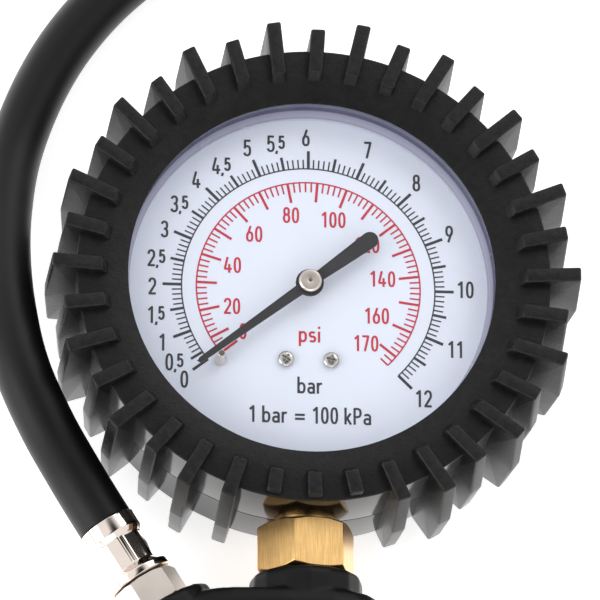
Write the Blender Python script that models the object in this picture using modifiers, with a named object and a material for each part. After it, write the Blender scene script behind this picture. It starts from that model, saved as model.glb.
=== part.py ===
"""Hand-held tyre inflator: a dial gauge in a lugged rubber boot on a pistol body, with a hose and a chuck.

The part lies on its back. +Z points out of the dial, +Y runs from the pistol up to the gauge, and the
origin is on the dial's axis at the boot's rear face.
"""

import math

import bmesh
import bpy
from mathutils import Matrix, Vector

MM = 0.001

# Clearances
SEAT_GAP = 0.3 * MM
RUNNING_GAP = 0.15 * MM

# Gauge case, lens and dial
CASE_RADIUS = 40.0 * MM
CASE_WALL = 0.9 * MM
CASE_DEPTH = 24.8 * MM
STEM_HEIGHT = 15.0 * MM
LENS_THICKNESS = 1.2 * MM
LENS_SKIRT_WALL = 2.0 * MM
LENS_TO_DIAL = 5.0 * MM
DIAL_THICKNESS = 0.6 * MM
DIAL_HOLE_RADIUS = 1.5 * MM

# Rubber boot
BOOT_BACK = 2.5 * MM
BOOT_WALL = 5.9 * MM
BOOT_LIP = 1.0 * MM
BOOT_LIP_COVER = 4.3 * MM
BOOT_REAR_CHAMFER = 3.6 * MM
BOOT_FRONT_CHAMFER = 1.5 * MM
BOOT_LIP_SLOPE = 0.4 * MM
LUG_COUNT = 36
LUG_WIDTH = 2.6 * MM
LUG_LONG_REACH = 6.1 * MM
LUG_SHORT_REACH = 4.3 * MM
LUG_FRONT_DRAFT = 0.9 * MM
LUG_REAR_DRAFT = 1.5 * MM
LUG_REAR_HEIGHT = 3.0 * MM
LUG_RIB_HEIGHT = 2.0 * MM
LUG_RIB_RAMP = 1.6 * MM
LUG_RIB_REACH_IN = 5.8 * MM
LUG_RIB_INSET = 0.2 * MM
LUG_ROOT = 4.0 * MM
LUGS_CUT_AT_STEM = (17, 18, 19)

# Pointer and what it turns on
POINTER_ZERO_DEG = -127.9
POINTER_FULL_DEG = 135.0
POINTER_LENGTH = 27.3 * MM
POINTER_TAIL = 16.0 * MM
POINTER_THICKNESS = 0.6 * MM
POINTER_ABOVE_DIAL = 2.8 * MM
POINTER_HUB_RADIUS = 2.75 * MM
POINTER_ROOT_WIDTH = 2.1 * MM
POINTER_TIP_WIDTH = 1.3 * MM
POINTER_TAIL_WIDTH = 3.3 * MM
BUSH_RADIUS = 2.25 * MM
BUSH_HEAD = 0.9 * MM
BUSH_NECK_RADIUS = 1.4 * MM
ARBOR_RADIUS = 0.7 * MM
STOP_PIN_REACH = 23.1 * MM
STOP_PIN_RADIUS = 0.75 * MM
STOP_PIN_FOOT_RADIUS = 1.2 * MM
DIAL_SCREW_SPACING = 8.8 * MM
DIAL_SCREW_DROP = 14.9 * MM
DIAL_SCREW_HEAD_RADIUS = 1.53 * MM
DIAL_SCREW_HEAD = 0.9 * MM
DIAL_SCREW_RADIUS = 0.75 * MM
DIAL_POST_RADIUS = 2.0 * MM

# Movement
MODULE = 0.35 * MM
PINION_TEETH = 12
SECTOR_TEETH = 84
PRESSURE_ANGLE = math.radians(20)
BACKLASH = 0.12 * MM
SECTOR_DIRECTION_DEG = -25.0
SECTOR_MARGIN_DEG = 6.5
SECTOR_THICKNESS = 1.5 * MM
SECTOR_ABOVE_BLOCK_BACK = 2.5 * MM
SECTOR_HUB_RADIUS = 3.0 * MM
SECTOR_RIM = 3.2 * MM
SECTOR_TAIL = 5.5 * MM
SECTOR_TAIL_RADIUS = 1.7 * MM
SECTOR_ARBOR_RADIUS = 0.9 * MM
PLATE_THICKNESS = 1.0 * MM
LINK_THICKNESS = 0.8 * MM
LINK_RADIUS = 1.4 * MM
LINK_PIN_RADIUS = 0.7 * MM
PILLAR_RADIUS = 1.5 * MM
PILLAR_LEFT = (-7.5 * MM, -6.0 * MM)
PILLAR_RIGHT = (10.5 * MM, -17.0 * MM)
HAIRSPRING_TURNS = 3.5
HAIRSPRING_RADIUS = 5.2 * MM
HAIRSPRING_WIRE = 0.12 * MM
COLLET_RADIUS = 1.3 * MM
TUBE_TO_CASE = 12.1 * MM
TUBE_THICKNESS = 3.5 * MM
TUBE_WIDTH = 7.8 * MM
TUBE_TO_BLOCK = 0.84 * MM
END_PIECE_BEYOND_TUBE = 1.55 * MM
END_PIECE_REACH = 5.0 * MM
END_PIECE_TIP_RADIUS = 0.9 * MM
TUBE_END_DEG = -36.7

# Brass socket
BLOCK_WIDTH = 15.0 * MM
BLOCK_DEPTH = 8.5 * MM
BLOCK_BEHIND_STEM = 5.5 * MM
BLOCK_HEIGHT = 17.2 * MM
NECK_RADIUS = 6.0 * MM
HEX_ACROSS_FLATS = 17.0 * MM
HEX_LENGTH = 9.7 * MM
HEX_TURN_DEG = -12.8
HEX_GAP_TO_BOOT = 1.0 * MM
STEM_THREAD_RADIUS = 6.3 * MM
STEM_THREAD_LENGTH = 11.4 * MM
MOVEMENT_SCREW_SPACING = 9.6 * MM
MOVEMENT_SCREW_RADIUS = 1.0 * MM
MOVEMENT_SCREW_HEAD_RADIUS = 1.9 * MM
MOVEMENT_SCREW_HEAD = 1.1 * MM

# Pistol body: sections down to the butt, each (depth below the gauge boss's face, front x, back x, half
# thickness, squareness)
BODY_SECTIONS = (
    (4.9 * MM, -21.5 * MM, 12.0 * MM, 10.4 * MM, 3.6),
    (7.1 * MM, -26.0 * MM, 15.2 * MM, 11.6 * MM, 3.4),
    (17.1 * MM, -30.5 * MM, 18.2 * MM, 12.2 * MM, 3.2),
    (27.1 * MM, -32.5 * MM, 20.0 * MM, 12.4 * MM, 3.0),
    (36.1 * MM, -31.0 * MM, 20.8 * MM, 12.6 * MM, 2.9),
    (43.1 * MM, -24.0 * MM, 21.0 * MM, 12.8 * MM, 2.8),
    (50.1 * MM, -13.8 * MM, 21.2 * MM, 13.0 * MM, 2.6),
    (61.1 * MM, -9.6 * MM, 22.8 * MM, 13.5 * MM, 2.4),
    (88.1 * MM, -2.4 * MM, 30.2 * MM, 14.3 * MM, 2.4),
    (117.1 * MM, 5.2 * MM, 39.0 * MM, 14.7 * MM, 2.5),
    (129.1 * MM, 7.4 * MM, 42.8 * MM, 15.0 * MM, 2.7),
    (134.1 * MM, 8.8 * MM, 43.8 * MM, 14.7 * MM, 2.7),
    (136.6 * MM, 11.4 * MM, 41.8 * MM, 12.4 * MM, 2.6),
)
BODY_RING_POINTS = 20
BODY_RINGS_PER_SECTION = 2
GAUGE_BOSS_RADIUS = 11.0 * MM
GAUGE_BOSS_FILLET = 1.6 * MM
GAUGE_BOSS_LENGTH = 18.0 * MM
PORT_X = -28.0 * MM
PORT_DEPTH = 7.2 * MM
PORT_LEAN_DEG = 32.0
PORT_BOSS_RADIUS = 10.5 * MM
PORT_BOSS_LENGTH = 18.0 * MM
PORT_THREAD_RADIUS = 4.4 * MM
PORT_THREAD_LENGTH = 7.5 * MM
GALLERY_RADIUS = 2.0 * MM
GRIP_RAKE_DEG = 15.2
INLET_X = 27.0 * MM
INLET_DEPTH = 140.3 * MM
INLET_BOSS_RADIUS = 10.5 * MM
INLET_BOSS_LENGTH = 12.0 * MM
INLET_BORE_RADIUS = 3.5 * MM
INLET_THREAD_RADIUS = 6.2 * MM
INLET_THREAD_LENGTH = 10.0 * MM

# Trigger and valve
TRIGGER_PIVOT_X = -27.5 * MM
TRIGGER_PIVOT_DEPTH = 26.1 * MM
TRIGGER_WIDTH = 12.0 * MM
TRIGGER_EDGE_ROUND = 1.2 * MM
TRIGGER_KNUCKLE_RADIUS = 4.5 * MM
TRIGGER_PIN_RADIUS = 1.6 * MM
TRIGGER_PIN_LENGTH = 23.0 * MM
TRIGGER_SLOT_BACK = 10.5 * MM
TRIGGER_SIDE_GAP = 0.4 * MM
TRIGGER_FRONT = ((-4.9, -7.0), (-4.0, -16.0), (-1.6, -27.0), (-0.8, -37.0), (-2.6, -47.0), (-6.8, -56.0))
TRIGGER_BACK = ((-1.2, -55.5), (3.0, -46.0), (4.8, -36.0), (4.6, -27.0), (3.8, -18.0), (3.2, -10.5))
VALVE_DROP = 10.5 * MM
VALVE_STEM_RADIUS = 2.0 * MM
VALVE_NOSE_TAPER = 1.2 * MM
VALVE_SEAT_X = -7.0 * MM
VALVE_CHAMBER_RADIUS = 6.0 * MM
VALVE_GALLERY_RADIUS = 3.6 * MM
VALVE_GALLERY_LENGTH = 6.0 * MM
VALVE_SEAL_RADIUS = 4.8 * MM
VALVE_SEAL_THICKNESS = 2.0 * MM
VALVE_HEAD_RADIUS = 4.5 * MM
VALVE_HEAD = 1.8 * MM
VALVE_TAIL_LENGTH = 6.0 * MM
VALVE_TAIL_RADIUS = 1.8 * MM
VALVE_SPRING_LENGTH = 13.0 * MM
VALVE_SPRING_RADIUS = 3.5 * MM
VALVE_SPRING_WIRE = 0.45 * MM
VALVE_SPRING_TURNS = 4
VALVE_CAP_THREAD_LENGTH = 8.0 * MM
VALVE_CAP_ACROSS_FLATS = 15.0 * MM
VALVE_CAP_HEAD = 4.0 * MM

# Inlet nipple, from the butt outwards
INLET_HEX_ACROSS_FLATS = 17.0 * MM
INLET_HEX_LENGTH = 7.0 * MM
INLET_NOSE_RADIUS = 4.4 * MM
INLET_COLLAR_RADIUS = 5.9 * MM
INLET_NOSE_LENGTH = 23.0 * MM

# Hose fittings
FITTING_ACROSS_FLATS = 12.0 * MM
FITTING_HEX_LENGTH = 6.2 * MM
BARB_RADIUS = 3.0 * MM
FERRULE_LENGTH = 14.3 * MM
FERRULE_FLANGE_RADIUS = 6.6 * MM
FERRULE_WAIST_RADIUS = 5.1 * MM
FERRULE_COLLAR_RADIUS = 5.8 * MM
CRIMP_SIDES = 8
CRIMP_BITE = 0.35 * MM

# Hose: its middle line from the near ferrule to the chuck, chosen by hand
HOSE_RADIUS = 5.5 * MM
HOSE_POINTS = 30
HOSE_ROUTE_MM = (
    (-45.4, -36.6, 15.8),
    (-50.5, -28.4, 18.2),
    (-55.4, -17.8, 19.4),
    (-58.1, -6.2, 17.8),
    (-59.3, 6.2, 13.8),
    (-59.1, 18.6, 9.4),
    (-57.2, 31.8, 6.3),
    (-52.6, 45.4, 5.8),
    (-46.0, 57.4, 5.8),
    (-36.6, 68.6, 5.8),
    (-22.5, 80.2, 5.8),
    (-4.0, 89.4, 5.8),
    (17.0, 93.4, 5.8),
    (38.0, 90.8, 5.8),
    (56.8, 81.6, 5.8),
    (70.4, 66.0, 5.8),
    (77.2, 46.0, 5.8),
    (78.0, 26.0, 6.2),
    (78.0, 8.0, 7.1),
)
HOSE_END_XY = (78.0 * MM, -6.0 * MM)

# Chuck, with lengths along it from the hose's end
CHUCK_HEX_ACROSS_FLATS = 14.0 * MM
CHUCK_HEX_LENGTH = 6.2 * MM
CHUCK_BARREL_RADIUS = 6.7 * MM
CHUCK_BARREL_LENGTH = 31.0 * MM
CHUCK_MOUTH_RADIUS = 4.3 * MM
CHUCK_MOUTH_DEPTH = 10.0 * MM
CHUCK_SEAL_LIP = 0.9 * MM
CHUCK_SEAL_THICKNESS = 3.6 * MM
CHUCK_SEAL_BORE = 1.6 * MM
CHUCK_PASSAGE_RADIUS = 1.5 * MM
LEVER_WIDTH = 7.6 * MM
LEVER_PIVOT_ABOVE_BARREL = 3.7 * MM
LEVER_PIVOT_FROM_MOUTH = 18.0 * MM
LEVER_PIN_RADIUS = 1.0 * MM
LEVER_THICKNESS = 2.0 * MM
LEVER_PAD_REACH = 22.0 * MM
LEVER_PAD_RISE = 3.2 * MM
LEVER_JAW_REACH = 13.0 * MM
LEVER_JAW_WIDTH = 2.6 * MM
LEVER_JAW_BITE = 0.5 * MM
EAR_THICKNESS = 2.0 * MM
EAR_LENGTH = 7.0 * MM
LEVER_SPRING_FROM_PIVOT = 9.5 * MM
LEVER_SPRING_RADIUS = 1.6 * MM
LEVER_SPRING_WIRE = 0.28 * MM
LEVER_SPRING_TURNS = 3

# Finishes: colour, roughness, metallic
RUBBER = ((0.022, 0.022, 0.024), 0.72, 0.0)
HOSE_RUBBER = ((0.014, 0.014, 0.015), 0.5, 0.0)
BLACK_STEEL = ((0.03, 0.03, 0.032), 0.4, 0.6)
CLEAR = ((0.86, 0.88, 0.93), 0.05, 0.0)
DIAL_WHITE = ((0.84, 0.86, 0.92), 0.5, 0.0)
POINTER_GREY = ((0.03, 0.03, 0.034), 0.45, 0.1)
NICKEL = ((0.72, 0.70, 0.66), 0.25, 1.0)
STEEL = ((0.55, 0.55, 0.54), 0.3, 1.0)
BRASS = ((0.62, 0.44, 0.20), 0.28, 1.0)
CHROME = ((0.80, 0.79, 0.78), 0.08, 1.0)
CAST_BLACK = ((0.016, 0.016, 0.017), 0.42, 0.0)
SEAL_RUBBER = ((0.04, 0.04, 0.042), 0.8, 0.0)

# Heights above the floor that follow from the sizes above
CASE_BACK = BOOT_BACK + SEAT_GAP
CASE_RIM = CASE_BACK + CASE_DEPTH
CASE_INSIDE = CASE_RADIUS - CASE_WALL
BOOT_BORE = CASE_RADIUS + SEAT_GAP
BOOT_OPENING_RADIUS = BOOT_BORE - BOOT_LIP_COVER
BOOT_RADIUS = BOOT_BORE + BOOT_WALL
BOOT_FRONT = CASE_RIM + SEAT_GAP + BOOT_LIP
LENS_RADIUS = CASE_INSIDE - SEAT_GAP
LENS_BACK = CASE_RIM - LENS_THICKNESS
DIAL_RADIUS = LENS_RADIUS
DIAL_FACE = LENS_BACK - LENS_TO_DIAL
DIAL_BACK = DIAL_FACE - DIAL_THICKNESS
POINTER_BACK = DIAL_FACE + POINTER_ABOVE_DIAL
POINTER_FRONT = POINTER_BACK + POINTER_THICKNESS
BUSH_UNDERSIDE = POINTER_FRONT + SEAT_GAP
BLOCK_BACK = STEM_HEIGHT - BLOCK_BEHIND_STEM
BLOCK_FRONT = BLOCK_BACK + BLOCK_DEPTH
FRONT_PLATE = BLOCK_FRONT + SEAT_GAP
REAR_PLATE = BLOCK_BACK - SEAT_GAP - PLATE_THICKNESS
TUBE_HEIGHT = (BLOCK_BACK + BLOCK_FRONT) / 2 - 0.25 * MM
SECTOR_BACK = BLOCK_BACK + SECTOR_ABOVE_BLOCK_BACK
SECTOR_FRONT = SECTOR_BACK + SECTOR_THICKNESS
LINK_BACK = SECTOR_FRONT + SEAT_GAP
LINK_FRONT = LINK_BACK + LINK_THICKNESS
END_PIECE_BACK = LINK_FRONT + SEAT_GAP
END_PIECE_FRONT = END_PIECE_BACK + SECTOR_THICKNESS

# Places that follow from the sizes above
POINTER_SWEEP_DEG = POINTER_FULL_DEG - POINTER_ZERO_DEG
PINION_PITCH = MODULE * PINION_TEETH / 2
SECTOR_PITCH = MODULE * SECTOR_TEETH / 2
SECTOR_SWEEP_DEG = POINTER_SWEEP_DEG * PINION_TEETH / SECTOR_TEETH
TUBE_RADIUS = CASE_INSIDE - TUBE_TO_CASE
TUBE_START_DEG = 270.0 - math.degrees(math.asin((BLOCK_WIDTH / 2 + TUBE_TO_BLOCK) / TUBE_RADIUS))
BLOCK_BOTTOM = -math.sqrt(CASE_INSIDE**2 - (BLOCK_WIDTH / 2) ** 2) + SEAT_GAP
HEX_START = BOOT_RADIUS + HEX_GAP_TO_BOOT
HEX_END = HEX_START + HEX_LENGTH
GAUGE_BOSS_TOP = HEX_END + SEAT_GAP
PORT_FACE = Vector((PORT_X, -GAUGE_BOSS_TOP - PORT_DEPTH, STEM_HEIGHT))
INLET_FACE = Vector((INLET_X, -GAUGE_BOSS_TOP - INLET_DEPTH, STEM_HEIGHT))
TRIGGER_PIVOT = Vector((TRIGGER_PIVOT_X, -GAUGE_BOSS_TOP - TRIGGER_PIVOT_DEPTH, STEM_HEIGHT))
VALVE_AXIS = TRIGGER_PIVOT - Vector((0, VALVE_DROP, 0))
SEAL_START = VALVE_SEAT_X + SEAT_GAP
VALVE_HEAD_START = SEAL_START + VALVE_SEAL_THICKNESS + SEAT_GAP
VALVE_SPRING_START = VALVE_HEAD_START + VALVE_HEAD + SEAT_GAP + VALVE_SPRING_WIRE
VALVE_CAP_START = VALVE_SPRING_START + VALVE_SPRING_LENGTH + SEAT_GAP + VALVE_SPRING_WIRE
VALVE_CAP_FLANGE = VALVE_CAP_START + VALVE_CAP_THREAD_LENGTH
HOSE_START_FROM_FACE = 3 * SEAT_GAP + FITTING_HEX_LENGTH + FERRULE_LENGTH
CHUCK_ORIGIN = Vector((*HOSE_END_XY, CHUCK_HEX_ACROSS_FLATS / 2 + SEAT_GAP))
CHUCK_SEAL_RADIUS = CHUCK_MOUTH_RADIUS + CHUCK_SEAL_LIP
LEVER_PIVOT_HEIGHT = CHUCK_BARREL_RADIUS + LEVER_PIVOT_ABOVE_BARREL
CHUCK_HEX_START = 2 * SEAT_GAP + FERRULE_LENGTH
CHUCK_BARREL_START = CHUCK_HEX_START + CHUCK_HEX_LENGTH
CHUCK_END = CHUCK_BARREL_START + CHUCK_BARREL_LENGTH
LEVER_PIVOT_ALONG = CHUCK_END - LEVER_PIVOT_FROM_MOUTH

FINE_STEPS = 54
SHELL_STEPS = 36
HEXAGON_STEPS = 24
ROUND_STEPS = 16
SMALL_STEPS = 12
OVERLAP = 1.0 * MM
# A small turn that keeps a hexagon's turned corners off the facets of what it is joined with
OFF_STEP = math.radians(1.7)


def reset_scene():
    """Removes every object that the file started with."""
    for obj in list(bpy.data.objects):
        bpy.data.objects.remove(obj)


def new_collection(name):
    """Adds a collection to the scene."""
    collection = bpy.data.collections.new(name)
    bpy.context.scene.collection.children.link(collection)
    return collection


def principled(name, colour, roughness, metallic):
    """A plain Principled material."""
    material = bpy.data.materials.new(name)
    material.use_nodes = True
    shader = material.node_tree.nodes["Principled BSDF"]
    shader.inputs["Base Color"].default_value = (*colour, 1.0)
    shader.inputs["Roughness"].default_value = roughness
    shader.inputs["Metallic"].default_value = metallic
    return material


def add(name, data, finish=None, parent=None, location=(0, 0, 0), rotation=(0, 0, 0)):
    """Adds a part where a finish is given, or else a hidden shape that cuts or joins another."""
    obj = bpy.data.objects.new(name, data)
    obj.parent = parent
    obj.location = location
    obj.rotation_euler = rotation
    if finish:
        PARTS.objects.link(obj)
        data.materials.append(principled(name, *finish))
    else:
        TOOLS.objects.link(obj)
        obj.hide_render = True
        obj.display_type = "WIRE"
    return obj


def axis_empty(name, location, rotation=(0, 0, 0)):
    """An empty that carries the pieces built along one axis."""
    empty = bpy.data.objects.new(name, None)
    empty.location = location
    empty.rotation_euler = rotation
    PARTS.objects.link(empty)
    return empty


def turned(name, profile, finish=None, steps=ROUND_STEPS, closed=False, **place):
    """Turns (radius, height) points, which run down the outer side, about the local Z axis."""
    count = len(profile)
    edges = [(i, i + 1) for i in range(count - 1)]
    if closed:
        edges.append((count - 1, 0))
    mesh = bpy.data.meshes.new(name)
    mesh.from_pydata([(r, 0.0, z) for r, z in profile], edges, [])
    obj = add(name, mesh, finish, **place)
    screw = obj.modifiers.new("Turn", "SCREW")
    screw.steps = steps
    screw.render_steps = steps
    screw.use_merge_vertices = True
    screw.merge_threshold = 0.001 * MM
    screw.use_smooth_shade = True
    return obj


def rod(name, radius, start, end, finish=None, steps=SMALL_STEPS, **place):
    """A plain cylinder along local Z."""
    return turned(name, [(0, end), (radius, end), (radius, start), (0, start)], finish, steps, **place)


def sleeve(name, outer, inner, start, end, finish=None, steps=SMALL_STEPS, **place):
    """A plain ring along local Z."""
    profile = [(inner, end), (outer, end), (outer, start), (inner, start)]
    return turned(name, profile, finish, steps, closed=True, **place)


def box(name, low, high, finish=None, **place):
    """A block between two corners."""
    work = bmesh.new()
    bmesh.ops.create_cube(work, size=1.0)
    low, high = Vector(low), Vector(high)
    work.transform(Matrix.Translation((low + high) / 2) @ Matrix.Diagonal((*(high - low), 1.0)))
    mesh = bpy.data.meshes.new(name)
    work.to_mesh(mesh)
    work.free()
    return add(name, mesh, finish, **place)


def hexagon(name, across_flats, start, end, chamfer, finish=None, turn_deg=0.0, **place):
    """A hexagon along local Z with a flat towards local Y, its corners turned down at both ends."""
    work = bmesh.new()
    corner = across_flats / math.sqrt(3)
    bmesh.ops.create_cone(work, cap_ends=True, segments=6, radius1=corner, radius2=corner, depth=end - start)
    turn = Matrix.Rotation(math.radians(30.0 + turn_deg), 4, "Z")
    work.transform(Matrix.Translation((0, 0, (start + end) / 2)) @ turn)
    mesh = bpy.data.meshes.new(name)
    work.to_mesh(mesh)
    work.free()
    obj = add(name, mesh, finish, **place)
    rim = corner - chamfer
    slope = chamfer * math.tan(math.radians(30))
    wide = corner + OVERLAP
    fall = slope * (wide - rim) / chamfer
    profile = [(0, end), (rim, end), (wide, end - fall), (wide, start + fall), (rim, start), (0, start)]
    turning = turned(name + "_turning", profile, steps=HEXAGON_STEPS, rotation=(0, 0, OFF_STEP), **place)
    combine(obj, turning, "INTERSECT")
    return obj


def flat_curve(name, outline, start, end, finish=None, holes=(), location=(0, 0, 0), **place):
    """A flat outline with holes, filled and given its thickness along local Z."""
    curve = bpy.data.curves.new(name, "CURVE")
    curve.dimensions = "2D"
    curve.fill_mode = "BOTH"
    curve.extrude = (end - start) / 2
    for loop in (outline, *holes):
        spline = curve.splines.new("POLY")
        spline.points.add(len(loop) - 1)
        for point, (x, y) in zip(spline.points, loop):
            point.co = (x, y, 0.0, 1.0)
        spline.use_cyclic_u = True
    middle = Vector(location) + Vector((0, 0, (start + end) / 2))
    return add(name, curve, finish, location=middle, **place)


def wire(name, points, radius, finish=None, resolution=2, **place):
    """A round wire or tube through the points, closed at its ends."""
    curve = bpy.data.curves.new(name, "CURVE")
    curve.dimensions = "3D"
    curve.bevel_depth = radius
    curve.bevel_resolution = resolution
    curve.use_fill_caps = True
    spline = curve.splines.new("POLY")
    spline.points.add(len(points) - 1)
    for point, place_at in zip(spline.points, points):
        point.co = (*place_at, 1.0)
    return add(name, curve, finish, **place)


def as_mesh(curve_object):
    """Puts a welded mesh object in a curve object's place."""
    graph = bpy.context.evaluated_depsgraph_get()
    mesh = bpy.data.meshes.new_from_object(curve_object.evaluated_get(graph))
    work = bmesh.new()
    work.from_mesh(mesh)
    bmesh.ops.remove_doubles(work, verts=work.verts, dist=0.001 * MM)
    work.to_mesh(mesh)
    work.free()
    name = curve_object.name
    collection = curve_object.users_collection[0]
    parent, basis = curve_object.parent, curve_object.matrix_basis.copy()
    hidden, display = curve_object.hide_render, curve_object.display_type
    bpy.data.objects.remove(curve_object)
    obj = bpy.data.objects.new(name, mesh)
    obj.parent = parent
    obj.matrix_basis = basis
    obj.hide_render = hidden
    obj.display_type = display
    collection.objects.link(obj)
    return obj


def round_edges(obj, width, segments=2):
    """Rounds the sharp edges of a mesh object."""
    bevel = obj.modifiers.new("Edges", "BEVEL")
    bevel.width = width
    bevel.segments = segments
    bevel.limit_method = "ANGLE"
    bevel.angle_limit = math.radians(50)


def combine(target, tool, operation):
    """Adds a Boolean of the target with a hidden tool shape."""
    modifier = target.modifiers.new(tool.name, "BOOLEAN")
    modifier.operation = operation
    modifier.solver = "EXACT"
    modifier.object = tool


def cut(target, *tools):
    """Cuts each tool shape out of the target."""
    for tool in tools:
        combine(target, tool, "DIFFERENCE")


def join(target, *tools):
    """Joins each tool shape to the target."""
    for tool in tools:
        combine(target, tool, "UNION")


def polar(radius, degrees, centre=(0.0, 0.0)):
    """A flat point at a radius and an angle from +X, turning left."""
    angle = math.radians(degrees)
    return centre[0] + radius * math.cos(angle), centre[1] + radius * math.sin(angle)


def arc(radius, start_deg, end_deg, count, centre=(0.0, 0.0)):
    """Flat points along an arc, both ends included."""
    return [polar(radius, start_deg + (end_deg - start_deg) * i / (count - 1), centre) for i in range(count)]


def circle(radius, centre=(0.0, 0.0), count=SMALL_STEPS):
    """Flat points around a circle."""
    return arc(radius, 0.0, 360.0 - 360.0 / count, count, centre)


def belt(*circles):
    """The outline of a belt pulled tight round (x, y, radius) circles, turning left."""
    points = sorted(p for x, y, r in circles for p in circle(r, (x, y), 16))
    hull = []
    for sweep in (points, points[::-1]):
        side = []
        for p in sweep:
            while len(side) > 1 and turns_right(side[-2], side[-1], p):
                side.pop()
            side.append(p)
        hull += side[:-1]
    return hull


def turns_right(a, b, c):
    """Whether the path a, b, c turns right or runs straight on."""
    return (b[0] - a[0]) * (c[1] - a[1]) - (b[1] - a[1]) * (c[0] - a[0]) <= 0.0


def smooth_path(points, count):
    """Points spread evenly by parameter along a Catmull-Rom curve through the given points."""
    ends = [2 * points[0] - points[1], *points, 2 * points[-1] - points[-2]]
    spans = len(points) - 1
    path = []
    for i in range(count):
        place = spans * i / (count - 1)
        span = min(int(place), spans - 1)
        t = place - span
        a, b, c, d = ends[span : span + 4]
        square, cube = 2 * a - 5 * b + 4 * c - d, 3 * b - a - 3 * c + d
        path.append(0.5 * (2 * b + (c - a) * t + square * t**2 + cube * t**3))
    return path


def loft(name, rings, finish=None):
    """A closed skin over rings of equally many points, with flat ends."""
    count = len(rings[0])
    points = [p for ring in rings for p in ring]
    faces = [tuple(range(count))[::-1], tuple(range(len(points) - count, len(points)))]
    for row in range(len(rings) - 1):
        for i in range(count):
            a, b = row * count + i, row * count + (i + 1) % count
            faces.append((a, b, b + count, a + count))
    mesh = bpy.data.meshes.new(name)
    mesh.from_pydata(points, [], faces)
    work = bmesh.new()
    work.from_mesh(mesh)
    bmesh.ops.recalc_face_normals(work, faces=work.faces)
    work.to_mesh(mesh)
    work.free()
    return add(name, mesh, finish)


def helix(radius, start, end, turns, per_turn=8):
    """Points of a coil along local Z."""
    count = turns * per_turn + 1
    steps = [i / (count - 1) for i in range(count)]
    return [(*polar(radius, 360.0 * turns * t), start + (end - start) * t) for t in steps]


def compass(degrees):
    """The angle from +X of a direction given clockwise from the top of the dial."""
    return 90.0 - degrees


# Gauge boot, case and lens
def lug_outline(reach):
    """Section of one lug through the dial's axis, as (radius, height), with draft off the parting plane."""
    tip = BOOT_RADIUS + reach
    root = BOOT_RADIUS - LUG_ROOT
    foot = BOOT_RADIUS - LUG_RIB_REACH_IN
    front = BOOT_FRONT + LUG_RIB_HEIGHT
    buried = BOOT_FRONT - BOOT_LIP / 2
    return [
        (foot, buried),
        (foot + LUG_RIB_RAMP, front),
        (tip - LUG_FRONT_DRAFT, front),
        (tip, STEM_HEIGHT),
        (tip - LUG_REAR_DRAFT, LUG_REAR_HEIGHT),
        (root, BOOT_LIP),
        (root, buried),
    ]


def rib_outline():
    """Section of a lug that is cut off flush with the ring beside the stem."""
    root = BOOT_RADIUS - LUG_ROOT
    foot = BOOT_RADIUS - LUG_RIB_REACH_IN
    front = BOOT_FRONT + LUG_RIB_HEIGHT
    rim = BOOT_RADIUS - LUG_RIB_INSET
    buried = BOOT_FRONT - BOOT_LIP / 2
    deep = BOOT_FRONT - 2 * BOOT_FRONT_CHAMFER
    top = [(foot, buried), (foot + LUG_RIB_RAMP, front), (rim, front)]
    return [*top, (rim, deep), (root, deep), (root, buried)]


def lug_ring():
    """All the lugs as one hidden mesh of separate plates, which the boot is joined with."""
    work = bmesh.new()
    for index in range(LUG_COUNT):
        reach = LUG_LONG_REACH if index % 2 else LUG_SHORT_REACH
        outline = rib_outline() if index in LUGS_CUT_AT_STEM else lug_outline(reach)
        turn = Matrix.Rotation(math.radians(compass(360.0 * index / LUG_COUNT)), 3, "Z")
        sides = []
        for side in (-0.5, 0.5):
            sides.append([work.verts.new(turn @ Vector((r, side * LUG_WIDTH, z))) for r, z in outline])
        count = len(outline)
        work.faces.new(sides[0])
        work.faces.new(sides[1][::-1])
        for i in range(count):
            j = (i + 1) % count
            work.faces.new((sides[0][i], sides[1][i], sides[1][j], sides[0][j]))
    bmesh.ops.recalc_face_normals(work, faces=work.faces)
    mesh = bpy.data.meshes.new("lug_ring")
    work.to_mesh(mesh)
    work.free()
    return add("lug_ring", mesh)


def stem_hole(name, reach_in, stem):
    """A cutter for the hole that the socket's neck passes through."""
    reach_out = BOOT_RADIUS + LUG_LONG_REACH
    return rod(name, NECK_RADIUS + SEAT_GAP, reach_in, reach_out, steps=ROUND_STEPS, parent=stem)


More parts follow.
